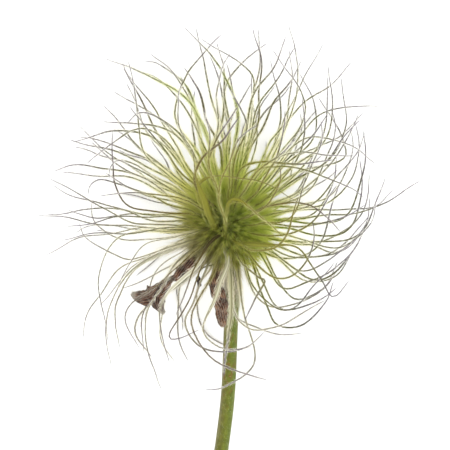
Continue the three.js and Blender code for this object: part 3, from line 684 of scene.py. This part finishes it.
def random_ways(tangents, ups, across, angles, lift=1.0):
    """Ways at given angles off a tangent, and where each leans. A low lift keeps them to its sides."""
    turn = random.uniform(0, TURN, len(angles))[:, None]
    out = unit(lift * np.cos(turn) * ups + np.sin(turn) * across)
    return np.cos(angles)[:, None] * tangents + np.sin(angles)[:, None] * out, out


# Materials

def linear(colour):
    """A colour given as three bytes, as a shader wants it. What a node puts out stays as it is."""
    if isinstance(colour, bpy.types.NodeSocket):
        return colour
    share = np.array(colour) / 255
    return (*np.where(share < 0.04045, share / 12.92, ((share + 0.055) / 1.055) ** 2.4), 1.0)


class Shade:
    """A material whose colour is worked out by nodes."""

    def __init__(self, name, roughness, specular=0.3, sheen=0.0):
        self.material = bpy.data.materials.new(name)
        self.material.use_nodes = True
        self.tree = self.material.node_tree
        self.shader = self.tree.nodes["Principled BSDF"]
        looks = {"Roughness": roughness, "Specular IOR Level": specular, "Sheen Weight": sheen}
        for key, value in looks.items():
            self.shader.inputs[key].default_value = value

    def feed(self, socket, value):
        """An input gets a number, a colour, what a node puts out, or a value of the mesh by its name."""
        if isinstance(value, str):
            value = self.node("Attribute", "Fac", {}, attribute_name=value)
        if isinstance(value, bpy.types.NodeSocket):
            self.tree.links.new(value, socket)
        else:
            socket.default_value = value

    def node(self, kind, out, inputs, **settings):
        """What a new node puts out. Its inputs are given by number or by name."""
        made = self.tree.nodes.new("ShaderNode" + kind)
        for key, value in settings.items():
            setattr(made, key, value)
        for key, value in inputs.items():
            self.feed(made.inputs[key], value)
        return made.outputs[out]

    def noise(self, scale, detail=3.0, stretch=None, roughness=0.55):
        place = self.node("TexCoord", "Object", {})
        if stretch:
            place = self.node("Mapping", 0, {"Vector": place, "Scale": stretch})
        inputs = {"Vector": place, "Scale": scale, "Detail": detail, "Roughness": roughness}
        return self.node("TexNoise", 0, inputs)

    def ramp(self, value, *stops):
        """Colours, or plain numbers as greys, by a value."""
        made = self.tree.nodes.new("ShaderNodeValToRGB")
        self.feed(made.inputs[0], value)
        elements = made.color_ramp.elements
        while len(elements) < len(stops):
            elements.new(0.5)
        for element, (at, colour) in zip(elements, stops):
            element.position = at
            element.color = (colour, colour, colour, 1) if np.isscalar(colour) else linear(colour)
        return made.outputs[0]

    def mix(self, share, first, second, blend="MIX"):
        inputs = {0: share, 6: linear(first), 7: linear(second)}
        return self.node("Mix", 2, inputs, data_type="RGBA", blend_type=blend)

    def math(self, operation, first, second=0.0):
        return self.node("Math", 0, {0: first, 1: second}, operation=operation)

    def times(self, first, second):
        return self.math("MULTIPLY", first, second)

    def plus(self, first, second):
        return self.math("ADD", first, second)

    def bump(self, height, distance):
        made = self.node("Bump", 0, {"Height": height, "Distance": distance, "Strength": 1.0})
        self.tree.links.new(made, self.shader.inputs["Normal"])

    def finish(self, colour, *layers):
        """The material in a colour, with layers over it, each with the share that it covers."""
        for share, over in layers:
            colour = self.mix(share, colour, over)
        self.tree.links.new(colour, self.shader.inputs["Base Color"])
        return self.material


# The camera, the surface and the light

data = bpy.data.cameras.new("camera")
data.sensor_width = 36
data.lens = CAMERA_LENS
data.clip_start = 0.05
data.clip_end = 20
camera = add_object("camera", data)
camera.location = [value * MM for value in CAMERA_AT]
scene.camera = camera
scene.view_settings.view_transform = "Standard"

shade = Shade("surface", 0.85, specular=0.1)
surface_material = shade.finish(shade.ramp(shade.noise(6), (0.3, (240, 240, 239)), (0.7, (243, 243, 242))))
corners = [
    (x * SURFACE_HALF, y * SURFACE_HALF, -SURFACE_DROP) for x, y in ((-1, -1), (1, -1), (1, 1), (-1, 1))
]
floor = make_mesh("surface", corners, [[0, 1, 2, 3]], surface_material, soft=False)

for name, (location, size, energy) in LAMPS.items():
    data = bpy.data.lights.new(name, "AREA")
    data.shape = "DISK"
    data.size = size
    data.energy = energy
    lamp = add_object(name, data)
    lamp.location = location
    aim = np.array(LAMP_AIM) - np.array(location)
    lamp.rotation_euler = (math.atan2(math.hypot(aim[0], aim[1]), -aim[2]), 0, math.atan2(aim[0], -aim[1]))

world = bpy.data.worlds.new("studio")
world.use_nodes = True
sky = world.node_tree.nodes["Background"]
sky.inputs["Color"].default_value = (1, 1, 1, 1)
sky.inputs["Strength"].default_value = SKY_STRENGTH
scene.world = world

# The awns, each a thread from its seed to its tip with a fringe of silky hairs

draw_tone = make_random(SEED + 99)
random = np.random.RandomState(SEED)


def waver(line):
    """The line with small slow waves in it, which leave its root and its tip in place."""
    run = run_of(line)
    line = at_distances(line, np.linspace(0, run[-1], int(run[-1] / WAVER_STEP)))
    run = run_of(line)
    _, ups, across = frames_of(line)
    hold = rise(run, 5, 11) * smooth((run[-1] - run) / 5)
    for way in (ups, across):
        for size, *wavelengths in WAVERS:
            wavelength = draw_tone(*wavelengths)
            phase = draw_tone(0, TURN)
            line = line + way * (size * hold * np.sin(TURN * run / wavelength + phase))[:, None]
    line[:, 2] = np.maximum(line[:, 2], FLOOR)
    return line


def make_awn(line, dark, green, strap_row, bare):
    """The thread and the fringe of one awn. dark, green and bare run from 0 to 1."""
    line = waver(line)
    length = run_of(line)[-1]
    leaving = line[6] - line[0]
    heading = heading_of(leaving)
    strap_reach, strap_width, pale = strap_row or (-1, 0, lerp(PALE_SECTOR, heading) * (1 - 0.6 * dark))
    age = lerp(AGE_SECTOR, heading) * (1 - 0.2 * rise(line[-1, 2], *YOUNG_TIP))
    high = rise(line[-1, 2], *HIGH_TIP) * (1 - pale)
    stout = draw_tone(0.85, 1.2) * lerp(STOUT_SECTOR, heading) * (1 + 0.12 * dark)
    furry = draw_tone(0.55, 1.45) * (1 - 0.3 * dark) * (1 + 1.2 * green)
    whole = {"dark": dark, "pale": pale, "bright": green, "lit": lit_share(leaving)}

    def held_at(share):
        return smooth((strap_reach - share) / STRAP_FADE)

    def values_at(points, share, strap):
        """What colours the points, by their share of the awn's length and how far they are a strap."""
        # Painted shade: where an awn rises high and passes near the head's middle, its colour is darkened
        shaded = high * rise(np.hypot(points[:, 0], points[:, 1]), *SHADED_REACH)
        olive = rise(points[:, 2], *OLIVE_HEIGHT)
        return {"along": share * age, "strap": strap, "high": shaded, "olive": olive}

    def thread():
        """The swollen seed and the thread that it carries."""
        distances = np.concatenate([[0.001], np.arange(0.5, 5, 0.75), np.linspace(5, length, 34)])
        path = at_distances(line, distances)
        start = path[0] - SUNK * unit(path[1] - path[0])
        path = np.vstack([start, start + 0.2 * (path[0] - start), path])
        run = np.concatenate([[-SUNK, -0.8 * SUNK], distances])
        share = np.clip(run / length, 0, 1)
        radii = np.where(run < SEED_END, lerp(SEED_PROFILE, run), stout * lerp(THREAD_PROFILE, share))
        sides = STRAP_SIDES if strap_width > 0.15 else AWN_SIDES
        strap = rise(run, 0.5, 3.5) * held_at(share)
        points, faces = tube(path, radii + strap_width * strap, sides)
        rows = values_at(path, share, strap)
        rows["tip"] = 0.85 * rise(share, 0.66, 0.92) * (1 - rows["high"])
        values = {key: per_ring(row, sides) for key, row in rows.items()}
        # The first tone drawn is left out
        _, *streaks = (draw_tone() for _ in range(sides + 1))
        values["streak"] = capped(0.5, np.tile(streaks, len(path) - 2), 0.5)
        return points, faces, {**whole, **values}

    def fringe():
        """The silky hairs along the thread, most of them on its two sides."""
        grid = np.linspace(0.06, 0.96, 60)
        middles = (grid[1:] + grid[:-1]) / 2
        density = lerp(HAIR_DENSITY, middles * age) * lerp(FRINGE_SECTOR, heading) * furry
        density = density * (1 - 0.4 * high) * (1 - 0.75 * bare)
        density = density * (1 + 1.1 * pale * rise(middles, 0.38, 0.58))
        total = np.concatenate([[0], np.cumsum(np.diff(grid) * length * density)])
        count = int(total[-1])
        at = np.interp((np.arange(count) + random.uniform(0, 1, count)) / count, total / total[-1], grid)
        middle, tangents, ups, across = frames_at(line, at * length)
        held = held_at(at)
        spread = np.maximum(held, 0.6 * pale * rise(at, 0.42, 0.26)) * rise(at, 0.05, 0.17) * (1 - bare)
        angles = np.radians(random.uniform(*HAIR_ANGLE, count)) * (1 - 0.55 * spread)
        angles = angles * (1 + 0.3 * green) * (1 + 0.6 * rise(at, 0.3, 0.6))
        ways, out = random_ways(tangents, ups, across, angles, FRINGE_LIFT)
        sideways = across * np.sign(np.sum(out * across, axis=1))[:, None]
        out = out + (sideways - out * np.where(spread > 0.1, 0.2, 1)[:, None]) * spread[:, None]
        reach = lerp(THREAD_PROFILE, at) * 0.8 + spread * random.uniform(0, 0.45, count) * (1 - 0.5 * held)
        roots = middle + out * (reach + (strap_width - 0.1) * held)[:, None]
        lengths = lerp(HAIR_LENGTH, at * age) * (1 + 0.7 * spread) * (1 - 0.4 * held)
        lengths = lengths * random.uniform(0.6, 1.25, count)
        widths = HAIR_WIDTH * random.uniform(0.7, 1.2, count)
        points, faces, each, _ = strands(roots, ways, lengths, widths)
        values = values_at(points, np.repeat(at, each), np.repeat(held, each))
        return points, faces, {**whole, **values}

    return thread(), fringe()


def thread_material():
    shade = Shade("awn_thread", 0.6, specular=0.12)
    green = shade.ramp(
        "along", (0, (118, 121, 38)), (0.12, (108, 109, 35)), (0.3, (95, 97, 39)), (0.45, (96, 97, 52)),
        (0.6, (89, 88, 67)), (0.75, (90, 87, 84)), (1, (102, 97, 104)),
    )
    blotch = shade.ramp(shade.noise(700, detail=4), (0.35, 0.74), (0.65, 1))
    olive = shade.ramp("streak", (0.1, (104, 102, 40)), (0.5, (132, 130, 52)), (0.9, (154, 150, 66)))
    olive = shade.mix(shade.times("olive", 0.8), olive, (116, 114, 34))
    silvery = shade.ramp("streak", (0.1, (124, 122, 102)), (0.5, (188, 184, 162)), (0.9, (224, 221, 206)))
    outward = shade.times("pale", shade.ramp("along", (0.05, 0.4), (0.28, 0.85), (0.42, 0.8), (0.66, 0.3)))
    brown = shade.ramp(
        "along", (0, (108, 99, 44)), (0.3, (98, 86, 43)), (0.6, (78, 65, 52)), (1, (82, 70, 68))
    )
    return shade.finish(
        shade.mix(1, green, blotch, "MULTIPLY"),
        (shade.times("lit", shade.ramp("along", (0.1, 0.8), (0.36, 0))), (116, 142, 40)),
        (shade.times("bright", shade.ramp("along", (0.35, 0.8), (0.6, 0))), (106, 113, 58)),
        # Painted shade: awns that rise high near the head's middle turn a darker olive
        (shade.times("high", 0.75), (116, 108, 46)),
        (shade.ramp("strap", (0, 0), (0.6, 0.9)), shade.mix("pale", olive, silvery)),
        (shade.times(outward, shade.ramp("strap", (0, 1), (0.5, 0))), (162, 155, 137)),
        # Painted shade: such awns are darker still near their base
        (shade.times("high", shade.ramp("along", (0.14, 0.5), (0.32, 0))), (108, 110, 44)),
        (shade.times("dark", 0.9), shade.mix("strap", brown, (56, 44, 28))),
        ("tip", (106, 99, 108)),
    )


def fringe_material():
    shade = Shade("awn_hair", 0.6, specular=0.2, sheen=0.15)
    silk = shade.ramp(
        "along", (0, (178, 184, 80)), (0.15, (234, 229, 146)), (0.3, (250, 247, 211)),
        (0.5, (251, 248, 234)), (0.68, (247, 245, 239)), (1, (230, 226, 220)),
    )
    flecks = shade.ramp(shade.noise(400), (0.3, 0.8), (0.7, 1))
    young = shade.ramp("along", (0.12, 0), (0.26, 0.8), (0.5, 0.8), (0.65, 0))
    faded = shade.ramp(
        "along", (0.08, (134, 122, 88)), (0.22, (222, 214, 196)), (0.38, (243, 239, 229)),
        (0.8, (226, 222, 200)),
    )
    dried = shade.times("dark", shade.plus(0.45, shade.times("strap", 0.5)))
    return shade.finish(
        shade.mix(1, silk, flecks, "MULTIPLY"),
        (shade.times("lit", shade.ramp("along", (0.06, 0.8), (0.24, 0))), (184, 204, 84)),
        (shade.times("bright", young), (206, 213, 148)),
        # Painted shade: the hairs of awns that rise high near the head's middle turn a darker olive
        (shade.times("high", 0.82), (188, 186, 104)),
        (shade.ramp("strap", (0, 0), (0.6, 0.9)), shade.mix("olive", (156, 152, 72), (132, 130, 46))),
        # Painted shade: such hairs are darker still near the base
        (shade.times("high", shade.ramp("along", (0.14, 0.5), (0.32, 0))), (150, 158, 68)),
        (shade.times("pale", 0.9), faded),
        (dried, shade.mix("strap", (130, 110, 82), (70, 54, 32))),
    )


threads, fringes = zip(*(make_awn(*row) for row in awn_lines()))
show("awn_threads", "seed_head", thread_material(), threads)
hair_material = fringe_material()
for k, letter in enumerate("abcd"):
    show("awn_hairs_" + letter, "seed_head", hair_material, fringes[k::4], soft=False)

# The core, and the silky hairs of the seeds that fill the middle of the head

root_ways = np.array([root_way(i) for i in range(ROOT_COUNT)])


def core_part():
    """The core, which swells where each seed is rooted."""
    heights = np.linspace(math.pi, 0, CORE_RINGS + 2)
    turns = TURN * np.arange(CORE_SIDES) / CORE_SIDES
    ball = [
        np.cos(h) * HEAD_AXIS + np.sin(h) * (math.cos(t) * FRONT_AXIS + math.sin(t) * SIDE_AXIS)
        for h in heights[1:-1]
        for t in turns
    ]
    ball = np.array([-HEAD_AXIS, *ball, HEAD_AXIS])
    nearest = np.max(ball @ root_ways.T, axis=1)
    swell = 0.35 * np.exp(-(1 - nearest) * 220)
    points = np.array([on_core(way) for way in ball]) + ball * (swell - 0.15)[:, None]
    return points, ring_faces(CORE_RINGS, CORE_SIDES), {}


def tuft(way):
    """The silky hairs of one seed."""
    heading = heading_of(way)
    helper = unit(np.cross(way, (0.3, 0.2, 1)))
    start = random.uniform(*TUFT_START, TUFT_HAIRS)
    angles = np.radians(random.uniform(*TUFT_ANGLE, TUFT_HAIRS))
    ways, out = random_ways(way, helper, np.cross(way, helper), angles)
    roots = on_core(way) + way * start[:, None] + out * lerp(TUFT_PROFILE, start)[:, None]
    reach = (0.82 + 0.18 * float(way @ HEAD_AXIS)) * (0.6 + 0.4 * lerp(FRINGE_SECTOR, heading))
    lengths = reach * random.uniform(*TUFT_LENGTH, TUFT_HAIRS)
    widths = random.uniform(*TUFT_WIDTH, TUFT_HAIRS)
    points, faces, each, hairward = strands(roots, ways, lengths, widths)
    values = {
        "hairward": hairward,
        "tone": np.repeat(random.uniform(0, 1, TUFT_HAIRS), each),
        "lit": lit_share(way),
        # The tufts that lean outward in the pale sector turn brown: partly their withered colour, partly
        # painted shade between the tufts
        "withered_and_shaded": lerp(PALE_SECTOR, heading) * rise(way[2], 0.97, 0.47),
        "outer": rise(np.repeat(start, each) + hairward * np.repeat(lengths, each), 4, 8.5),
    }
    return points, faces, values


def tuft_material():
    shade = Shade("seed_hair", 0.55, specular=0.15, sheen=0.1)
    green = shade.ramp("hairward", (0, (156, 178, 44)), (0.5, (182, 204, 56)), (1, (200, 212, 80)))
    olive = shade.ramp("hairward", (0, (124, 114, 42)), (1, (182, 174, 88)))
    unlit = shade.math("SUBTRACT", "tone", shade.times("lit", 0.6))
    return shade.finish(
        shade.mix(shade.ramp(unlit, (0, 0), (0.7, 1)), green, olive),
        (shade.times("outer", 0.85), (232, 228, 140)),
        # Brown where tufts lean outward in the pale sector: withered colour and painted shade between the
        # tufts
        (shade.times("withered_and_shaded", 0.85), shade.ramp("hairward", (0, (88, 80, 44)), (1, (178, 167, 128)))),
    )


shade = Shade("core", 0.7)
core_material = shade.finish(shade.ramp(shade.noise(900), (0.3, (116, 128, 44)), (0.7, (152, 166, 64))))
show("core", "seed_head", core_material, [core_part()])
tufts = [tuft(way) for way in root_ways]
half = len(tufts) // 2
hair_material = tuft_material()
show("seed_hairs_a", "seed_head", hair_material, tufts[:half], soft=False)
show("seed_hairs_b", "seed_head", hair_material, tufts[half:], soft=False)

# The stem

stem_line = smooth_line(STEM_LINE, 12)
stem_length = run_of(stem_line)[-1]


def stem_part():
    """The stalk, with faint ribs that fade towards the knob, and the cut."""
    steps_back, edge_radii = np.array(CUT_EDGE).T
    distances = np.arange(0, stem_length - 0.12, STEM_STEP)
    distances = np.concatenate([distances, stem_length - steps_back])
    line = at_distances(stem_line, distances)
    radii = stem_radius(distances)
    radii[-len(edge_radii):] *= edge_radii
    points, faces = tube(line, radii, STEM_SIDES)
    angles = TURN * np.arange(STEM_SIDES) / STEM_SIDES
    along = distances[1:-1, None]
    drift = 0.5 * np.sin(along * 0.07)
    ribs = 0.018 * np.cos(STEM_RIBS * (angles + 0.12 * drift)) + 0.012 * np.sin(3 * angles + along * 0.16)
    centres = line[1:-1, None]
    rings = points[1:-1].reshape(-1, STEM_SIDES, 3)
    rings = centres + (rings - centres) * (1 + ribs * rise(along, 3, 7))[..., None]
    points[1:-1] = rings.reshape(-1, 3)
    points[:, 2] = np.maximum(points[:, 2], 0)
    values = {
        # Which way the stem's surface faces, used to paint light and shade across its width
        "turned": capped(0, np.tile(-np.cos(angles), len(distances) - 2), 0),
        "down": per_ring(distances / stem_length, STEM_SIDES),
        "cut": per_ring((distances > stem_length - 0.05).astype(float), STEM_SIDES),
    }
    return points, faces, values


def stem_material():
    shade = Shade("stem", 0.6, specular=0.15)
    streaks = shade.math("SUBTRACT", shade.noise(260, detail=5, stretch=(1, 0.06, 1)), 0.5)
    # Painted light and shade across the stem: paler and greyer at one edge as a painted highlight, greener
    # across the rest, with streaks of its own
    place = shade.plus("turned", shade.times(streaks, 1.3))
    green = shade.ramp(
        shade.plus(shade.times(place, 0.5), 0.5), (0.06, (108, 106, 66)), (0.2, (98, 98, 42)),
        (0.42, (94, 98, 32)), (0.6, (100, 108, 34)), (0.8, (94, 106, 40)), (0.96, (108, 118, 56)),
    )
    mottle = shade.ramp(shade.noise(1500, detail=4, stretch=(1, 0.6, 1)), (0.35, 0.66), (0.6, 1))
    fleck = shade.ramp(shade.noise(1300, detail=2, stretch=(1, 0.35, 1)), (0.54, 0), (0.66, 0.75))
    rust = shade.times(fleck, shade.ramp("down", (0.3, 1), (0.46, 0.9), (0.56, 0.15)))
    shade.bump(shade.noise(1200, detail=4, stretch=(1, 0.15, 1)), 0.0001)
    green = shade.mix(1, green, mottle, "MULTIPLY")
    return shade.finish(green, (rust, (104, 72, 38)), ("cut", (186, 190, 134)))


def stem_down():
    """The fine hairs of the stem, half of them crowded below the head."""
    half = DOWN_HAIRS // 2
    crowded = random.uniform(0.0, 1, half) ** 1.2 * 21 + 6
    at = np.concatenate([crowded, random.uniform(12, stem_length - 1, half)])
    middle, tangents, ups, across = frames_at(stem_line, at)
    upper = 1 - rise(at, 15, 28)
    angles = np.radians(random.uniform(20, 60, len(at)) * (1 - 0.5 * upper))
    ways, out = random_ways(tangents, ups, across, angles)
    roots = middle + out * (stem_radius(at) - 0.03)[:, None]
    lengths = (0.4 + 2.3 * upper) * random.uniform(0.5, 1.1, len(at))
    widths = (0.009 + 0.021 * upper) * random.uniform(0.8, 1.2, len(at))
    curls = unit(random.normal(size=(len(at), 3))) * (0.15 * lengths)[:, None]
    points, faces, each, _ = strands(roots, ways, lengths, widths, curls, segments=2)
    return points, faces, {"upper": np.repeat(upper, each)}


show("stalk", "stem", stem_material(), [stem_part()])
shade = Shade("stem_hair", 0.55, sheen=0.3)
down_material = shade.finish(shade.ramp("upper", (0, (196, 200, 160)), (1, (212, 205, 184))))
show("stem_hairs", "stem", down_material, [stem_down()], soft=False)

# The withered tepals


def waves(seed, count, low, high, x, y):
    """A crumpled height over a plane, as a sum of waves between two wavelengths."""
    draw = make_random(seed)
    total = 0
    for _ in range(count):
        wavelength = draw(low, high)
        heading = draw(0, TURN)
        phase = draw(0, TURN)
        way = x * math.cos(heading) + y * math.sin(heading)
        total = total + np.sin(TURN * way / wavelength + phase) * (wavelength / high)
    return total / count**0.5


def blade(rows, seed, grey, light):
    """A crumpled withered blade along a line of stations, and what its hairs grow from."""
    stations = smooth_line(rows, 12)
    length = run_of(stations[:, :3])[-1]
    distances = np.linspace(0, length, int(length / BLADE_STEP))
    stations = at_distances(stations, distances)
    line = stations[:, :3]
    tangents, ups, across = frames_of(line)
    roll = np.radians(stations[:, 6:7])
    wide = across * np.cos(roll) - ups * np.sin(roll)
    high = ups * np.cos(roll) + across * np.sin(roll)
    edges = [1 + 0.2 * waves(seed + k, 6, 0.7, 3.5, distances, 0) for k in (1, 2)]
    x = np.linspace(-1, 1, BLADE_COLUMNS)
    ragged = np.where(x[None] < 0, edges[0][:, None], edges[1][:, None])
    spread = x * ragged * stations[:, 3:4]
    creases = waves(seed, 9, 0.9, 3.6, spread, distances[:, None])
    height = stations[:, 5:6] * (0.4 - x * x) + 0.5 * creases * np.minimum(1, stations[:, 3:4])
    ends = smooth(np.minimum(distances, length - distances) / 0.8)[:, None]
    half = BLADE_HALF * np.sqrt(1 - 0.8 * x * x) * (0.4 + 0.6 * ends)
    flat = line[:, None] + spread[..., None] * wide[:, None]
    low, top = [flat + (height + face * half)[..., None] * high[:, None] for face in (-1, 1)]
    rings = np.concatenate([low, top[:, ::-1]], axis=1)
    points = np.vstack([line[0] - 0.1 * tangents[0], rings.reshape(-1, 3), line[-1] + 0.1 * tangents[-1]])

    def around(values):
        """Values over the blade, taken along one face and back along the other."""
        values = np.broadcast_to(values, spread.shape)
        return np.concatenate([values, values[:, ::-1]], axis=1).ravel()

    run = distances[:, None]
    values = {
        "across": capped(0, around(spread), 0),
        "run": capped(0, around(run), length),
        "rim": capped(1, around(np.abs(x)), 1),
        # crease and light paint shade: darker in crease valleys, lighter on ridges, darker where the blade
        # meets the head; light also holds a lighter or darker offset for each tepal
        "crease": capped(0, around(creases), 0),
        "light": capped(light, around(light - 0.15 * (1 - rise(run, 5, 10))), light),
        "grey": capped(0, around(grey * smooth((run - length + 1.6) / 1.3)), grey),
    }
    return (points, ring_faces(len(line), rings.shape[1]), values), (low, top, high, tangents)


def wool(low, top, high, tangents):
    """The thin hairs of a blade, most of them on its upper face and near its far end."""
    last = len(low) - 1
    count = len(low) * WOOL_ROW
    rows = np.minimum((random.uniform(0, 1, count) ** 0.5 * len(low)).astype(int), last)
    columns = random.randint(0, low.shape[1], count)
    face = np.where(random.uniform(0, 1, count) < 0.7, 1, -1)[:, None]
    roots = np.where(face > 0, top[rows, columns], low[rows, columns])
    ways = tangents[rows] * random.uniform(0.5, 1.5, (count, 1)) + face * high[rows] * 0.5
    ways = unit(ways + random.normal(size=(count, 3)) * 0.5)
    lengths = random.uniform(0.35, 1.1, count)
    curls = unit(random.normal(size=(count, 3))) * (0.3 * lengths)[:, None]
    widths = np.full(count, WOOL_WIDTH)
    points, faces, _, hairward = strands(roots, ways, lengths, widths, curls, segments=2)
    return points, faces, {"hairward": hairward}


def tepal_material():
    shade = Shade("withered_tepal", 0.75, specular=0.2, sheen=0.15)
    crumb = shade.noise(420, detail=5, roughness=0.6)
    warp = shade.plus(shade.times(shade.noise(330, detail=4), 9.0), shade.times("run", 2.5))
    veins = shade.math("SINE", shade.plus(shade.times("across", 11.0), warp))
    # Painted shade and light: the blade is darker in the valleys of its creases, lighter on their ridges, and
    # darker where it meets the head
    relief_shading = shade.plus(shade.plus(shade.times("crease", 0.3), 0.5), "light")
    grain = shade.times(shade.math("SUBTRACT", crumb, 0.5), 0.7)
    brown = shade.ramp(
        shade.plus(relief_shading, grain), (0.15, (34, 21, 15)), (0.4, (75, 48, 36)), (0.6, (103, 72, 53)),
        (0.85, (150, 117, 87)), (1, (182, 152, 114)),
    )
    shade.bump(shade.plus(crumb, shade.times(veins, -0.12)), 0.0002)
    return shade.finish(
        brown,
        (shade.ramp(veins, (0.3, 0), (0.9, 0.7)), (34, 20, 17)),
        (shade.ramp(shade.times(veins, -1), (0.4, 0), (0.95, 0.42)), (152, 118, 94)),
        (shade.ramp("rim", (0.84, 0), (0.96, 0.6)), (40, 30, 27)),
        ("grey", (138, 136, 126)),
    )


blade_material = tepal_material()
shade = Shade("tepal_hair", 0.6, sheen=0.3)
wool_material = shade.finish(shade.ramp("hairward", (0, (150, 140, 122)), (1, (206, 200, 182))))
for name, seed, grey, light in (("tepal_left", 51, 0.8, -0.19), ("tepal_right", 77, 0.0, 0.03)):
    made = [blade(rows, seed + 10 * k, grey, light) for k, rows in enumerate(TEPALS[name])]
    show(name + "_blade", name, blade_material, [part for part, _ in made])
    wools = [wool(*surface) for _, surface in made]
    show(name + "_hairs", name, wool_material, wools, soft=False)

# The dried stamen


def stamen_part():
    """A thin filament that swells into the anther."""
    line = smooth_line(STAMEN_LINE, 10)
    length = run_of(line)[-1]
    distances = np.linspace(0, length, 60)
    swell = ANTHER_SWELL * rise(distances, length - 3, length - 2) * (1 - 0.25 * np.sin(distances * 3.1))
    rounded = np.sqrt(np.clip((length - distances) / 0.6, 0.1, 1))
    points, faces = tube(at_distances(line, distances), STAMEN_RADIUS + swell * rounded, STAMEN_SIDES)
    return points, faces, {}


shade = Shade("dried_stamen", 0.8, specular=0.2)
shade.bump(shade.noise(2200, detail=4), 0.0001)
stamen_colour = shade.ramp(shade.noise(1100, detail=5), (0.35, (24, 17, 14)), (0.7, (58, 44, 34)))
show("stamen", "dried_stamen", shade.finish(stamen_colour), [stamen_part()])
